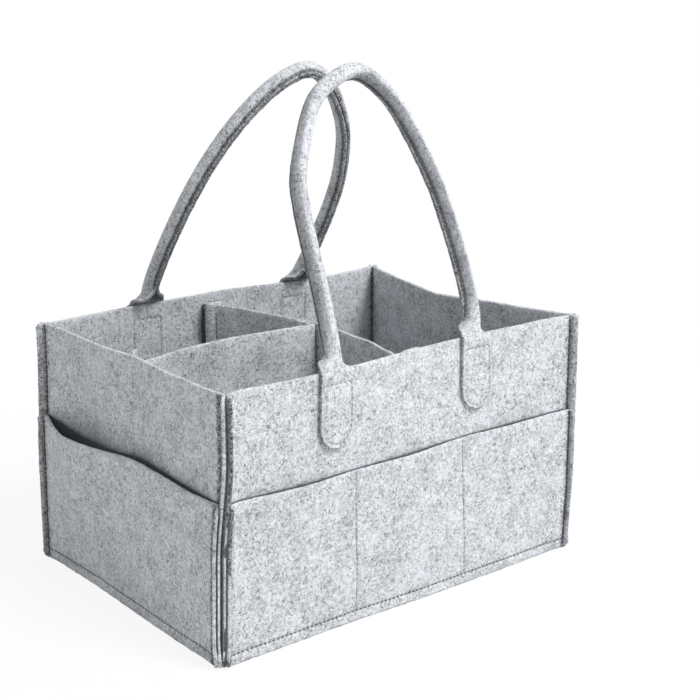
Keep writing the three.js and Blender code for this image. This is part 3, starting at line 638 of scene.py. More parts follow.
def from_back(side, along):
    place = share_along(along, SIDES[side][0], 1)
    return place if side == "left_end" else 1 - place


def pocket_bow(side):
    """How far a pocket stands out: swelling between its rows on a long side, gaping at an end."""
    span, _, _, panel_bow = SIDES[side]

    def bow(along, height, layer=1):
        risen = height_share(height, POCKET_HEIGHT)
        if span == LENGTH:
            swell = (1 - np.cos(2 * math.pi * LONG_POCKETS * share_along(along, span, layer))) / 2
            return panel_bow(along, height, layer) + LONG_POCKET_SWELL * swell * risen ** 1.2
        return level_of(END_MOUTH, from_back(side, along)) * risen
    return bow


def pocket_crest(side):
    if SIDES[side][0] == LENGTH:
        return lambda along: LONG_POCKET_RISE * share_along(along, LENGTH, 1)
    return lambda along: level_of(END_CREST, from_back(side, along))


POCKET_ROWS = [2 * bow_reach(LENGTH, 1) * (k / LONG_POCKETS - 0.5) for k in range(1, LONG_POCKETS)]


def hem_row(side):
    return [(-fin_shape(side, -1, 1)[1] + 1, HEM_LINE), (fin_shape(side, 1, 1)[1] - 1, HEM_LINE)]


def shade_behind_pocket(side):
    """Marks the panel's outer face behind its pocket, where little light gets in.

    The mark grows from 0 a little above the pocket's mouth to 1 as deep as can be seen into it."""
    mesh = bpy.data.objects[f"{side}_felt"].data
    turn = SIDES[side][2]
    place, normal = (np.empty(3 * len(mesh.vertices)) for _ in range(2))
    mesh.vertices.foreach_get("co", place)
    mesh.vertices.foreach_get("normal", normal)
    x, y, z = place.reshape(-1, 3).T / MM
    normal_x, normal_y, _ = normal.reshape(-1, 3).T
    along = x * math.cos(turn) + y * math.sin(turn)
    facing = normal_x * math.sin(turn) - normal_y * math.cos(turn)
    gap = pocket_bow(side)(along, POCKET_HEIGHT) - SIDES[side][3](along, POCKET_HEIGHT)
    below = POCKET_HEIGHT + SHADE_ABOVE + pocket_crest(side)(along) - z
    mark_points(mesh, "shaded", np.where(facing > 0.88, below / (SHADE_DEPTH + SHADE_PER_GAP * gap), -1.0))


for side, (span, _, _, _) in SIDES.items():
    uprights = POCKET_ROWS if span == LENGTH else []
    rows_out = [(hem_row(side), STITCH_DEPTH)]
    rows_out += [([(x, HEM_LINE), (x, POCKET_HEIGHT)], STITCH_DEPTH) for x in uprights]
    pocket = side_sheet(f"{side}_pocket_felt", side, 1, pocket_bow(side), POCKET_HEIGHT, rows_out,
                        (), uprights, [HEM_LINE], pocket_crest(side))
    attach(pocket, "caddy")
    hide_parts(f"{side}_pocket")
    cut_width(side, 1) * MM
    shade_behind_pocket(side)

# Box seams: lockstitched, the hem and the corners in dark thread and the pocket rows in grey. The
# hem runs along the bottom, the corner rows run up the root of each fin on both of its faces, and
# the upright rows part the pockets.
THREAD_WIDTH = 0.9
STITCH_LENGTH = 3.0
STITCH_PITCH = 3.8
CORNER_THREAD, CORNER_STITCH = 1.4, 4.0
SUNK = 0.35


def thread_finish(name, deep, pale):
    material, shader, thread, place = new_finish(name)
    twist = thread.noise(place, 2600, 1.5)
    patch = thread.noise(place, 90, 2)
    tone = ((twist - 0.5) * 1.3 + (patch - 0.5) * 0.6 + 0.5).clamped()
    bump = thread.make("ShaderNodeBump", inputs={"Strength": 0.6, "Distance": 0.0002, "Height": twist})
    thread.mixed(tone, deep, pale).feed(shader, "Base Color")
    bump.feed(shader, "Normal")
    shader.inputs["Roughness"].default_value = 0.7
    return material


dark_thread = thread_finish("dark_thread", (0.02, 0.021, 0.024, 1), (0.15, 0.155, 0.165, 1))
grey_thread = thread_finish("grey_thread", (0.20, 0.205, 0.215, 1), (0.46, 0.47, 0.49, 1))


def stitch_tree():
    """Geometry nodes that lay one short stitch after another along every edge path of a mesh."""
    tree = bpy.data.node_groups.new("Stitch row", "GeometryNodeTree")
    tree.interface.new_socket("Geometry", in_out="INPUT", socket_type="NodeSocketGeometry")
    names = {}
    for label, kind in (("Pitch", "Float"), ("Stitch length", "Float"), ("Thread width", "Float"),
                        ("Seed", "Int"), ("Thread", "Material")):
        socket = tree.interface.new_socket(label, in_out="INPUT", socket_type=f"NodeSocket{kind}")
        names[label] = socket.identifier
    tree.interface.new_socket("Geometry", in_out="OUTPUT", socket_type="NodeSocketGeometry")
    row = Wire(tree)
    inputs = tree.nodes.new("NodeGroupInput")
    given = {socket.name: Wire(tree, socket) for socket in inputs.outputs if socket.name}
    line = row.make("GeometryNodeMeshToCurve", inputs={0: given["Geometry"]})
    steps = {"Curve": line, "Length": given["Pitch"]}
    even = row.make("GeometryNodeResampleCurve", {"mode": "LENGTH"}, steps)
    stitch = row.make("GeometryNodeMeshUVSphere", inputs={"Segments": 6, "Rings": 5})
    way = row.make("GeometryNodeInputTangent")
    turned = row.make("FunctionNodeAlignRotationToVector", {"axis": "Z"}, {"Vector": way})
    full_size = {"X": given["Thread width"], "Y": given["Thread width"], "Z": given["Stitch length"]}
    shape = row.make("ShaderNodeCombineXYZ", inputs=full_size)
    halved = row.make("ShaderNodeVectorMath", {"operation": "SCALE"}, {0: shape, "Scale": 0.5})
    range_of_sizes = {0: (0.85, 0.85, 0.8), 1: (1.15, 1.15, 1.08), "Seed": given["Seed"]}
    uneven = row.make("FunctionNodeRandomValue", {"data_type": "FLOAT_VECTOR"}, range_of_sizes)
    sized = row.make("ShaderNodeVectorMath", {"operation": "MULTIPLY"}, {0: halved, 1: uneven})
    laid = {"Points": even, "Instance": stitch, "Rotation": turned, "Scale": sized}
    lay = row.make("GeometryNodeInstanceOnPoints", inputs=laid)
    real = row.make("GeometryNodeRealizeInstances", inputs={0: lay})
    soft = row.make("GeometryNodeSetShadeSmooth", inputs={0: real})
    dyed = row.make("GeometryNodeSetMaterial", inputs={"Geometry": soft, "Material": given["Thread"]})
    dyed.feed(tree.nodes.new("NodeGroupOutput"), 0)
    return tree, names


stitch_nodes, stitch_inputs = stitch_tree()


def sew(name, rows, body, nodes, thread, width=THREAD_WIDTH, length=STITCH_LENGTH):
    """Rows of stitches along paths of points in mm, standing for the CAD's thread ridges."""
    points, edges = [], []
    for row in rows:
        first = len(points)
        points.extend(tuple(p) for p in np.asarray(row) * MM)
        edges.extend((k, k + 1) for k in range(first, len(points) - 1))
    mesh = bpy.data.meshes.new(name)
    mesh.from_pydata(points, edges, [])
    piece = in_scene(name, mesh)
    modifier = piece.modifiers.new("Stitch row", "NODES")
    modifier.node_group = stitch_nodes
    settings = {"Pitch": STITCH_PITCH * MM, "Stitch length": length * MM,
                "Thread width": width * MM, "Seed": len(name), "Thread": thread}
    for label, value in settings.items():
        modifier[stitch_inputs[label]] = value
    bpy.context.view_layer.update()
    sewn = bpy.data.meshes.new_from_object(piece.evaluated_get(bpy.context.evaluated_depsgraph_get()))
    piece.modifiers.clear()
    piece.data = sewn
    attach(piece, body)
    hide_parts(*nodes)


def close_set(path, step=2.0):
    """A path of (along, height) places with points set closely along it."""
    places = [path[0]]
    for (x0, z0), (x1, z1) in zip(path[:-1], path[1:]):
        count = max(1, int(math.hypot(x1 - x0, z1 - z0) / step))
        places += [(x0 + (x1 - x0) * k / count, z0 + (z1 - z0) * k / count) for k in range(1, count + 1)]
    return np.array(places)


def row_on_side(side, layer, bow, path, inside=False):
    """Points of a row on a side's outer or inner face, sunk a little into the felt."""
    x, z = close_set(path).T
    off = FELT / 2 - SUNK
    y = side_surface(side, layer, bow, x, z) + (off if inside else -off)
    return stand(side, np.stack([x, y, z], -1))


sew("hem_stitches", [row_on_side(s, 1, pocket_bow(s), hem_row(s)) for s in SIDES], "caddy",
    [f"{s}_hem_seam" for s in SIDES], dark_thread)
sew("pocket_row_stitches",
    [row_on_side(s, 1, pocket_bow(s), [(x, HEM_LINE + 2), (x, POCKET_HEIGHT - 2)])
     for s in ("front", "back") for x in POCKET_ROWS], "caddy",
    [f"{s}_pocket_row_{k}" for s in ("front", "back") for k in (1, 2)], grey_thread)

CORNER_STRETCHES = ((1, 5.0, POCKET_HEIGHT - 1.5), (0, POCKET_HEIGHT + 2.5, HEIGHT - 4))
corner_rows = []
for side in SIDES:
    for hand in (-1, 1):
        for layer, low, high in CORNER_STRETCHES:
            turn, root, _ = fin_shape(side, hand, layer)
            off = FELT / 2 - VALLEY_DEPTH + 0.1
            x = root + CORNER_ROW * math.cos(turn) - off * math.sin(turn)
            y = layer_depth(layer) - SEAM_FLARE - CORNER_ROW * math.sin(turn) - off * math.cos(turn)
            z = np.linspace(low, high, 40)
            corner_rows.append(stand(side, np.stack(np.broadcast_arrays(hand * x, y, z), -1)))
sew("corner_stitches", corner_rows, "caddy",
    [f"{c}_corner_seam" for c in ("front_left", "front_right", "back_left", "back_right")],
    dark_thread, CORNER_THREAD, CORNER_STITCH)

# Handles: each is one felt strip, sewn flat to the long side at both ends by a round-footed tab.
# Above the rim its edges fold towards the box and meet, and a row of stitches closes the tube. Both
# have painted shade on the flange and the inner face, and the front one down one side as well.
STRIP_HALF = TAB_WIDTH / 2
STRIP_COLUMNS = np.linspace(-1, 1, 63)
TAB_ROWS, LEG_FINE, LEG_STEP, ARCH_STEP = 36, 36.0, 1.2, 3.2
ROLL_RADIUS, FLANGE_RADIUS = 4.3, 1.4
ROLL_TURN = math.radians(150)
ROLL_INSIDE, ROLL_BACK = 4.6, 5.4
FLANGE_TURNED_BY = 30.0
FLANGE_START, FLANGE_FULL = 10.8, 12.4
SEAM_PLACE, SEAM_DEPTH, SEAM_WIDTH, FLANGE_PRESSED = 12.0, 1.2, 0.8, 0.45
SEAM_AT = (2.8, 9.7)
SEAM_THREAD, SEAM_STITCH = 1.3, 4.4
# Painted shade down one side of the front handle, and on each strip's inner face above the rim.
SIDE_SHADE_TURNS_OVER, SIDE_SHADE_START, SIDE_SHADE_SOFT = 30.0, 0.06, 0.25
INNER_SHADE = 0.82
# A lean is in degrees. Pairs of heights in mm above the rim say where a strip leaves the wall (free),
# takes up its lean (over) and rolls up (roll, at the rate opens); folds is one more pair of heights.
# By the height slants its section follows the course, which runs from tab to tab. turns gives the
# seam's facing in degrees at the two legs. The strength after it is painted shade on the flange, and
# the pair after that is painted shade down one side at the two legs.
HANDLES = {
    "front": dict(
        hinge=(0.0, -122.6134), axis=(0.997565, 0.069744), lean=21.5,
        free=(-8, 8), over=(-9, -8), folds=(-5, 8), roll=(-2, 13), opens=1.0, slants=0.1,
        turns=(100, 28), painted_shade=0.5, side_shade=(0.70, 0.78),
        course=[(-70, 0), (-67, 14), (-65, 35), (-63.5, 60), (-61.3, 117), (-54, 146), (-29, 186.5),
                (-3, 203.5), (22, 209), (42, 195.5), (57, 171.5), (71.7, 123.5), (76.5, 85), (78, 50),
                (76, 20), (70, 0)]),
    "back": dict(
        hinge=(0.0, 122.6134), axis=(-0.996499, 0.083603), lean=30.0,
        free=(-12, 1), over=(0, 16), folds=(-1, 4), roll=(0, 27), opens=0.6, slants=24.0,
        turns=(92, 65), painted_shade=1.15, side_shade=(0, 0),
        course=[(-74.5, 0), (-73.5, 17), (-78, 50), (-80.4, 95), (-77, 130), (-65.8, 168.4), (-42, 206),
                (-16.6, 224), (7, 214), (27.5, 189), (43.5, 157), (55.8, 118.6), (65.5, 70), (70.3, 24),
                (67, 0)]),
}


def rolled_section(rolled, places):
    """Across and inwards offsets of the strip's middle line at signed distances from its centre."""
    run = np.linspace(0, STRIP_HALF, 120)
    arc = ROLL_RADIUS * ROLL_TURN
    turned_back = np.maximum(ROLL_TURN - (run - arc) / FLANGE_RADIUS, math.pi / 2)
    turn = np.where(run < arc, run / ROLL_RADIUS, turned_back) * rolled
    step = run[1] - run[0]
    across = np.concatenate([[0], np.cumsum((np.cos(turn[1:]) + np.cos(turn[:-1])) / 2) * step])
    inward = np.concatenate([[0], np.cumsum((np.sin(turn[1:]) + np.sin(turn[:-1])) / 2) * step])
    size = np.abs(places)
    return np.sign(places) * np.interp(size, run, across), np.interp(size, run, inward)


def run_along(line):
    """How far along a line each of its points lies."""
    return np.concatenate([[0], np.cumsum(np.linalg.norm(np.diff(line, axis=0), axis=1))])


def handle_stations(course):
    """The strip's course in its plane: x along the hinge, height above it and the arch's inward way."""
    foot = [STRIP_HALF * (1 - math.cos(t)) - TAB_DROP for t in np.linspace(0.12, math.pi / 2, 13)]
    tab = foot + list(np.linspace(foot[-1], -LEG_STEP, TAB_ROWS)[1:])
    line = smooth_course(course, 40)
    run = run_along(line)
    ends = np.arange(0, LEG_FINE, LEG_STEP)
    arch = np.arange(LEG_FINE, run[-1] - LEG_FINE, ARCH_STEP)
    places = np.concatenate([ends, arch, run[-1] - ends[::-1]])
    x, up = (np.interp(places, run, line[:, k]) for k in (0, 1))
    way = unit(np.stack([np.gradient(x), np.gradient(up)], -1))
    stations = [(-TAB_CENTRE, drop, 1.0, 0.0) for drop in tab]
    stations += list(zip(x, up, way[:, 1], -way[:, 0]))
    return stations + [(TAB_CENTRE, drop, -1.0, 0.0) for drop in reversed(tab)]


def handle_frame(shape):
    """A handle's hinge and the ways along it, level to the inside, up its slope and in from its slope."""
    lean = math.radians(shape["lean"])
    origin = np.array([*shape["hinge"], HEIGHT])
    axis = np.array([*shape["axis"], 0.0])
    level = np.array([-axis[1], axis[0], 0.0])
    rising = np.array([0, 0, math.cos(lean)]) + level * math.sin(lean)
    inside = level * math.cos(lean) - np.array([0, 0, math.sin(lean)])
    return origin, axis, level, rising, inside


def strip_half_at(up):
    """Half the strip's width: full, but drawn to a half circle at the tab's foot."""
    above = up + TAB_DROP
    return math.sqrt(max(STRIP_HALF ** 2 - max(STRIP_HALF - above, 0) ** 2, 0.01))


def strip_along(station, across):
    """Places along the long side of a strip that lies flat on it."""
    return station[0] + across * strip_half_at(station[1]) * (1 if station[0] < 0 else -1)


def strip_point(side, station, across, section=None):
    """Points of the strip at a station. across is -1 to 1, and section gives fixed offsets instead."""
    shape = HANDLES[side]
    x, up, in_x, in_up = station
    origin, axis, level, rising, inside = handle_frame(shape)
    upright = 1 - float(eased(up, *shape["over"]))
    rising = rising * (1 - upright) + np.array([0, 0, upright])
    inside = unit(inside * (1 - upright) + level * upright)
    rolled = float(eased(up, *shape["roll"])) ** shape["opens"]
    on_legs = np.interp(x, (-TAB_CENTRE, TAB_CENTRE), shape["turns"])
    turned = math.radians(90 + (on_legs - 90) * float(eased(up, 0, FLANGE_TURNED_BY)))
    slant = float(eased(up, 0, shape["slants"]))
    arch_in = unit(axis * (in_x * slant + math.copysign(1 - slant, in_x)) + rising * in_up * slant)
    towards = math.cos(turned) * arch_in + math.sin(turned) * inside
    sideways = math.sin(turned) * arch_in - math.cos(turned) * inside
    centre = origin + axis * x + rising * up + inside * FELT / 2
    centre = centre + rolled * (ROLL_INSIDE * inside - ROLL_BACK * towards)
    if section is None:
        wide, deep = rolled_section(rolled, across * strip_half_at(up))
    else:
        wide, deep = (np.full(across.shape, value) for value in section)
    arch = centre + np.multiply.outer(wide, sideways) + np.multiply.outer(deep, towards)
    sewn = 1 - float(eased(up, *shape["free"]))
    if sewn > 0:
        along = strip_along(station, across)
        z = np.full(across.shape, HEIGHT + up)
        y = side_surface(side, 1, SIDES[side][3], along, np.minimum(z, HEIGHT))
        arch = arch * (1 - sewn) + stand(side, np.stack([along, y, z], -1)) * sewn
    return arch


from_centre = np.abs(STRIP_COLUMNS) * STRIP_HALF
inside_edges = STRIP_COLUMNS * (1 - RAW_EDGE / STRIP_HALF)
for side, shape in HANDLES.items():
    stations = handle_stations(shape["course"])
    closed = shape["roll"][1]
    middle = np.array([strip_point(side, s, inside_edges) for s in stations])
    press, thinned, painted_shade, outer_shade, inner_shade = (np.zeros(middle.shape[:2]) for _ in range(5))
    for row, station in enumerate(stations):
        x, up = station[:2]
        if up < 0:
            along = strip_along(station, STRIP_COLUMNS)
            tab_loop = tab_row(math.copysign(TAB_CENTRE, x), side)
            press[row] = dent(along, np.full(along.shape, HEIGHT + up), tab_loop)
        seam_dent = SEAM_DEPTH * np.exp(-((from_centre - SEAM_PLACE) / SEAM_WIDTH) ** 2)
        press[row] += seam_dent * eased(up, closed, closed + 10)
        on_flange = eased(from_centre, FLANGE_START, FLANGE_FULL) * eased(up, closed - 8, closed + 2)
        thinned[row] = FLANGE_PRESSED * on_flange
        # Painted shade on the flange, down one side of the front handle and on the inner face above the
        # rim.
        painted_shade[row] = shape["painted_shade"] * on_flange
        hand = np.clip(x / SIDE_SHADE_TURNS_OVER, -1, 1)
        side_shade_start = SIDE_SHADE_START * (1 + hand)
        shaded_side_share = eased(STRIP_COLUMNS * hand, side_shade_start, side_shade_start + SIDE_SHADE_SOFT)
        side_shade = np.interp(x, (-TAB_CENTRE, TAB_CENTRE), shape["side_shade"])
        outer_shade[row] = side_shade * shaded_side_share * eased(up, 5, 35)
        inner_shade[row] = INNER_SHADE * eased(up, -1, 3)
    strip = felt_sheet(f"{side}_handle_felt", middle, FELT, press, thinned, felt_grey, 31 + len(side), painted_shade)
    face_shade = np.concatenate([outer_shade.ravel(), inner_shade.ravel()])
    raw_points = len(strip.data.vertices) - len(face_shade)
    mark_points(strip.data, "shaded", np.concatenate([face_shade, np.zeros(raw_points)]))
    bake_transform(strip)
    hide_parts(f"{side}_handle_grip", f"{side}_handle_left_tab", f"{side}_handle_right_tab")
    bow = SIDES[side][3]
    tab_loops = [tab_row(c, side) for c in (-TAB_CENTRE, TAB_CENTRE)]
    tab_rows = [row_on_side(side, 1, bow, path) for path in tab_loops]
    tab_rows += [row_on_side(side, 0, bow, path, inside=True) for path in tab_loops]
    sew(f"{side}_tab_stitches", tab_rows, "caddy",
        [f"{side}_handle_{h}_tab_seam" for h in ("left", "right")], grey_thread)
    sewn_stations = [s for s in stations if s[1] > closed + 2]
    seam_rows = []
    for hand in (-1, 1):
        place = (hand * SEAM_AT[0], SEAM_AT[1])
        seam_rows.append([strip_point(side, s, np.zeros(1), place)[0] for s in sewn_stations])
    sew(f"{side}_handle_stitches", seam_rows, f"{side}_handle", [f"{side}_handle_seam"], dark_thread,
        SEAM_THREAD, SEAM_STITCH)

# Wall tapes: woven loop tape sewn upright inside the front, back and left walls, where the
# divider's flaps meet them. The outline of stitching shows through on the outside.
TAPE_THICKNESS, TAPE_GAP, TAPE_EDGE = 1.0, 0.3, 0.4
TAPE_DENT, TAPE_SUNK = (0.3, 0.7), 0.1


def tape_finish(name):
    material, shader, tape, place = new_finish(name)
    loops = tape.make("ShaderNodeTexVoronoi", inputs={"Vector": place, "Scale": 900.0})
    cloud = tape.noise(place, 260, 3)
    tone = (0.35 + loops * 0.7 + (cloud - 0.5) * 0.5).clamped()
    bump = tape.make("ShaderNodeBump", inputs={"Strength": 0.8, "Distance": 0.0005, "Height": loops})
    tape.mixed(tone, (0.025, 0.027, 0.03, 1), (0.13, 0.135, 0.145, 1)).feed(shader, "Base Color")
    bump.feed(shader, "Normal")
    shader.inputs["Roughness"].default_value = 0.85
    return material


woven_tape = tape_finish("woven_tape")
for side, centre in TAPE_ROWS.items():
    bow = SIDES[side][3]
    reach = TAPE_WIDTH / 2 - TAPE_EDGE
    along = np.linspace(centre - reach, centre + reach, 22)[None, :]
    z = np.linspace(TAPE_FOOT + TAPE_EDGE, TAPE_HEAD - TAPE_EDGE, 60)[:, None]
    lie = side_surface(side, 0, bow, along, z) + FELT / 2 + TAPE_GAP + TAPE_THICKNESS / 2
    middle = stand(side, np.stack(np.broadcast_arrays(along, lie, z), -1))
    pressed = dent(along, z, tape_row(side), *TAPE_DENT)
    tape = felt_sheet(f"{side}_loop_tape", middle, TAPE_THICKNESS, 0.0, pressed, woven_tape, 3)
    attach(tape, "caddy")
    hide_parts(f"{side}_wall_tape")
    outer_row = row_on_side(side, 0, bow, tape_row(side))
    x, z = close_set(tape_row(side)).T
    y = side_surface(side, 0, bow, x, z) + FELT / 2 + TAPE_GAP + TAPE_THICKNESS - TAPE_SUNK
    sew(f"{side}_tape_stitches", [outer_row, stand(side, np.stack([x, y, z], -1))], "caddy",
        [f"{side}_wall_tape_seam"], grey_thread)

# Divider: a felt wall across the box with a flap turned at each end, and a wing whose own flap is
# sewn to that wall. The wing bends beside its flap, and its far end has another flap.
DIVIDER_FOOT, DIVIDER_TOP = 14.3, 187.0
DIVIDER_SWAY = 0.8
CROSS_BACK, CROSS_FRONT = (-19.0, 112.0), (0.0, -109.13)
CROSS_LIP = 8.0
CROSS_BOW = 19.0
FLAP_LENGTH = 20.0
WING_ROOT_Y, WING_END, WING_BOW = 2.0, (-157.1 + WALL_PULL, -6.0), 12.0
WING_FAR_FLAP, WING_FLAP_RUN = ((0.3, 7), (1.4, 14), (5, 20), (10, 24)), 24.0
BACK_ROW_INSET, FRONT_ROW_INSET, WING_ROW = 3.2, 6.0, 7.5
DENT_ENDS, ROW_FOOT, ROW_HEAD = 11.0, 10.0, 8.0
ENDS_HELD = 30.0
CROSS_LIFT, WING_LIFT = 3.5, 3.2
FOLD_RADIUS = 2.6


def rounded_line(points, radius, step=3.0):
    """A plan line with rounded corners, as closely set points."""
    points = [np.asarray(p, float) for p in points]
    line = [points[0]]
    for before, corner, after in zip(points[:-2], points[1:-1], points[2:]):
        into, away = unit(corner - before), unit(after - corner)
        turn = math.acos(max(-1.0, min(1.0, float(into @ away))))
        room = min(np.linalg.norm(corner - before), np.linalg.norm(after - corner)) * 0.48
        if turn < 0.15:
            line.append(corner)
            continue
        cut = min(radius * math.tan(turn / 2), room)
        start, end = corner - into * cut, corner + away * cut
        for share in np.linspace(0, 1, 7):
            line.append((1 - share) ** 2 * start + 2 * share * (1 - share) * corner + share ** 2 * end)
    line.append(points[-1])
    full = [line[0]]
    for a, b in zip(line[:-1], line[1:]):
        count = max(1, int(math.ceil(np.linalg.norm(b - a) / step)))
        full += [a + (b - a) * k / count for k in range(1, count + 1)]
    return np.array(full)


def upright_sheet(name, line, seed, row_places, end_lift):
    """A standing felt wall over a plan line, with upright stitch rows dented in at places along it."""
    run = run_along(line)
    z = spread(DIVIDER_FOOT + RAW_EDGE, DIVIDER_TOP - RAW_EDGE, GRID)[:, None]
    way = unit(np.gradient(line, axis=0))
    outward = np.stack([way[:, 1], -way[:, 0]], -1)
    ends = np.clip(np.minimum(run, run[-1] - run) / ENDS_HELD, 0, 1)
    lean = ripple(run[None, :], z, seed, DIVIDER_SWAY) * ends
    plan = line[None] + outward[None] * lean[..., None]
    on_flap = np.clip(1 - (run[-1] - run) / FLAP_LENGTH, 0, 1)
    lift = end_lift * eased(on_flap, 0, 1 / 3) * eased(z, DIVIDER_FOOT, DIVIDER_TOP)
    middle = np.concatenate([plan, (z + lift)[..., None]], -1)
    press = np.zeros(lean.shape)
    for place in row_places:
        path = [(place, DIVIDER_FOOT + DENT_ENDS), (place, DIVIDER_TOP - DENT_ENDS)]
        press = np.maximum(press, dent(run[None, :], z, path))
    return felt_sheet(name, middle, pressed_out=press, seed=seed), middle, run


def row_on_wall(middle, run, place):
    """Points of an upright row of stitches at a place along a standing wall, sunk into its face."""
    column = np.array([[np.interp(place, run, row[:, k]) for k in range(3)] for row in middle])
    step = np.array([[np.interp(place + 0.5, run, row[:, k]) for k in range(3)] for row in middle])
    way = unit(step - column)
    outward = np.stack([way[:, 1], -way[:, 0], np.zeros(len(way))], -1)
    kept = (column[:, 2] > DIVIDER_FOOT + ROW_FOOT) & (column[:, 2] < DIVIDER_TOP - ROW_HEAD)
    return (column + outward * (FELT / 2 - SUNK))[kept]


back_fold = np.array(CROSS_BACK) - (0, FELT)
lip_end = back_fold + np.array((DIAGONAL, -DIAGONAL)) * CROSS_LIP


def cross_point(share):
    x = lip_end[0] + (CROSS_FRONT[0] - lip_end[0]) * share + CROSS_BOW * math.sin(math.pi * share)
    return np.array((x, lip_end[1] + (CROSS_FRONT[1] - lip_end[1]) * share))


flap_end = (FLAP_LENGTH - RAW_EDGE, 0)
cross_points = [np.array(CROSS_BACK) + flap_end, np.array(CROSS_BACK), back_fold]
cross_points += [cross_point(s) for s in np.linspace(0, 1, 30)]
cross_points += [np.array(CROSS_FRONT) + flap_end]
cross_line = rounded_line(cross_points, FOLD_RADIUS)
cross_run = run_along(cross_line)[-1]
back_row = FLAP_LENGTH + FELT + CROSS_LIP - BACK_ROW_INSET
front_row = cross_run - FLAP_LENGTH - FRONT_ROW_INSET
cross, cross_middle, cross_places = upright_sheet(
    "cross_divider_felt", cross_line, 11, (back_row, front_row), CROSS_LIFT)
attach(cross, "divider")
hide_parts("cross_divider")


def beside_cross(y):
    """The wing flap's middle line, one layer off the cross divider's."""
    share = (lip_end[1] - y) / (lip_end[1] - CROSS_FRONT[1])
    return cross_point(share) - (LAYER_STEP, 0)


wing_points = [beside_cross(y) for y in np.linspace(WING_ROOT_Y + FLAP_LENGTH, WING_ROOT_Y, 5)]
pivot = wing_points[-1]
for share in np.linspace(0, 1, 25)[1:]:
    y = WING_ROOT_Y + (WING_END[1] - WING_ROOT_Y) * share + WING_BOW * math.sin(math.pi * share)
    wing_points.append(np.array((pivot[0] + (WING_END[0] - pivot[0]) * share, y)))
wing_points += [np.array(WING_END) + step for step in WING_FAR_FLAP]
wing_line = rounded_line(wing_points, FOLD_RADIUS)
wing_run = run_along(wing_line)[-1]
wing, wing_middle, wing_places = upright_sheet("wing_divider_felt", wing_line, 23, (WING_ROW,), WING_LIFT)
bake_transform(wing)
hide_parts("wing_flap", "wing_divider")

divider_rows = [row_on_wall(cross_middle, cross_places, place) for place in (back_row, front_row)]
divider_rows += [row_on_wall(wing_middle, wing_places, WING_ROW)]
sew("divider_stitches", divider_rows, "divider",
    ["cross_divider_back_seam", "cross_divider_front_seam", "wing_flap_seam"], dark_thread)

# Divider tapes: short lengths of woven hook tape sewn to the outside of the flaps that meet the
# walls, so that the divider grips the walls' loop tape.
HOOK_GAP = 0.2
back_flap = cross_middle[:, cross_places < FLAP_LENGTH]
front_flap = cross_middle[:, cross_places > cross_run - FLAP_LENGTH]
far_flap = wing_middle[:, wing_places > wing_run - WING_FLAP_RUN]
HOOKS = {
    "cross_divider_back_tape": (cross, "divider", back_flap, 1),
    "cross_divider_front_tape": (cross, "divider", front_flap, -1),
    "wing_tape": (wing, "divider_wing", far_flap, -1),
}
for node, (wall, body, flap, hand) in HOOKS.items():
    low, high = (np.array(corner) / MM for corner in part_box(node))
    thin = int(np.argmin(high - low))
    wide = 1 - thin
    plan = flap.mean(axis=0)
    plan = plan[np.argsort(plan[:, wide])]
    across = np.linspace(low[wide] + TAPE_EDGE, high[wide] - TAPE_EDGE, 18)
    lie = np.interp(across, plan[:, wide], plan[:, thin])
    grid = np.zeros((50, 18, 3))
    grid[..., wide] = across
    grid[..., thin] = lie + hand * (FELT / 2 + HOOK_GAP + TAPE_THICKNESS / 2)
    grid[..., 2] = np.linspace(low[2] + TAPE_EDGE, high[2] - TAPE_EDGE, 50)[:, None]
    hook = felt_sheet(f"{node}_woven", grid, TAPE_THICKNESS, 0.0, 0.0, woven_tape, 4)
    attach(hook, body)
    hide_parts(node)

# Studio: a wide white floor and a white surround, a large soft lamp from the right of the front,
# and a camera where the photograph was taken.
FLOOR_HALF, FLOOR_SHADOW = 6.0, 0.12
AMBIENT = 0.585
LAMP_WAY = np.array((0.28, -0.75, 0.95))
LAMP_AIM = np.array((0, 0, 0.15))
LAMP_DISTANCE, LAMP_SIZE, LAMP_POWER = 2.4, 0.9, 49.0
CAMERA_PLACE = (-0.720047, -0.946065, 0.495145)
CAMERA_DOWN, CAMERA_TURN = 15.406, -38.873
LENS, SENSOR = 81.32, 36.0


def seen_rays(wires):
    """1 on rays that show a surface: straight, in a reflection or through glass."""
    kinds = ("Is Camera Ray", "Is Glossy Ray", "Is Transmission Ray")
    straight, mirrored, through = (wires.make("ShaderNodeLightPath", output=kind) for kind in kinds)
    return (straight + mirrored + through).clamped()


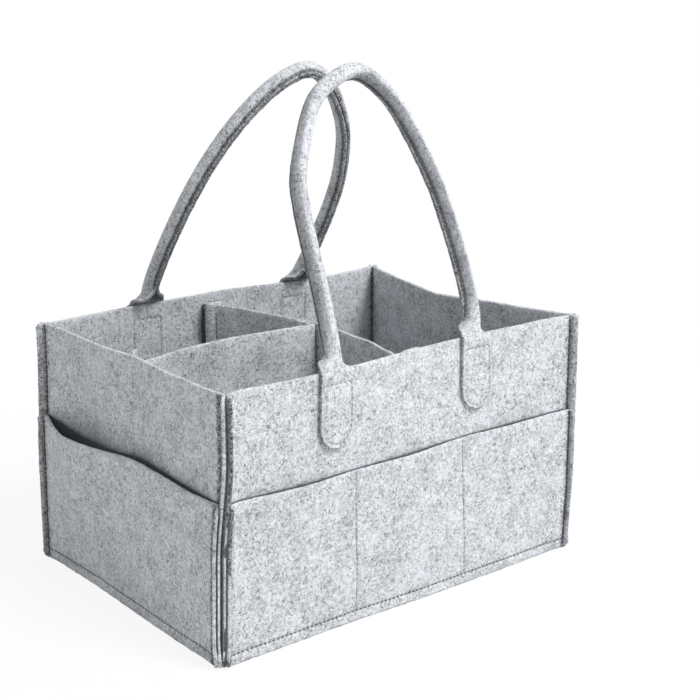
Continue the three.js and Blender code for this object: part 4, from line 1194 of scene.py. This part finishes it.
def studio_white(name, shadow_share):
    """White to the camera, with a little of the lit surface left in so that shadows show."""
    material = bpy.data.materials.new(name)
    material.use_nodes = True
    tree = material.node_tree
    tree.nodes.clear()
    white = Wire(tree)
    lit = white.make("ShaderNodeBsdfDiffuse", inputs={"Color": (0.86, 0.86, 0.86, 1)})
    glow = white.make("ShaderNodeEmission", inputs={"Color": (1, 1, 1, 1), "Strength": 1.0})
    place = white.make("ShaderNodeTexCoord", output="Object")
    away = white.make("ShaderNodeVectorMath", {"operation": "LENGTH"}, {0: place}, "Value")
    kept = ((0.55 - away) * 4).clamped() * shadow_share
    both = white.make("ShaderNodeMixShader", inputs={0: seen_rays(white) * (1 - kept), 1: lit, 2: glow})
    both.feed(tree.nodes.new("ShaderNodeOutputMaterial"), "Surface")
    return material


floor_mesh = bpy.data.meshes.new("studio_floor")
floor_mesh.from_pydata([(-FLOOR_HALF, -FLOOR_HALF, 0), (FLOOR_HALF, -FLOOR_HALF, 0),
                        (FLOOR_HALF, FLOOR_HALF, 0), (-FLOOR_HALF, FLOOR_HALF, 0)], [], [(0, 1, 2, 3)])
floor_mesh.materials.append(studio_white("studio_white", FLOOR_SHADOW))
studio_floor = in_scene("studio_floor", floor_mesh)
studio_floor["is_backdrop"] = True

world = bpy.data.worlds.new("studio")
bpy.context.scene.world = world
world.use_nodes = True
world.node_tree.nodes.clear()
sky = Wire(world.node_tree)
brightness = AMBIENT + seen_rays(sky) * (1 - AMBIENT)
surround = sky.make("ShaderNodeBackground", inputs={"Color": (1, 1, 1, 1), "Strength": brightness})
surround.feed(world.node_tree.nodes.new("ShaderNodeOutputWorld"), "Surface")

lamp_data = bpy.data.lights.new("soft_lamp", "AREA")
lamp_data.shape = "SQUARE"
lamp_data.size = LAMP_SIZE
lamp_data.energy = LAMP_POWER
lamp = in_scene("soft_lamp", lamp_data)
lamp_way = unit(LAMP_WAY)
lamp.location = LAMP_AIM + lamp_way * LAMP_DISTANCE
lamp.rotation_euler = (math.acos(lamp_way[2]), 0, math.atan2(lamp_way[0], -lamp_way[1]))

camera_data = bpy.data.cameras.new("camera")
camera_data.lens = LENS
camera_data.sensor_width = SENSOR
camera = in_scene("camera", camera_data)
camera.location = CAMERA_PLACE
camera.rotation_euler = (math.radians(90 - CAMERA_DOWN), 0, math.radians(CAMERA_TURN))
bpy.context.scene.camera = camera
bpy.context.scene.view_settings.view_transform = "Standard"

low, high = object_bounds()
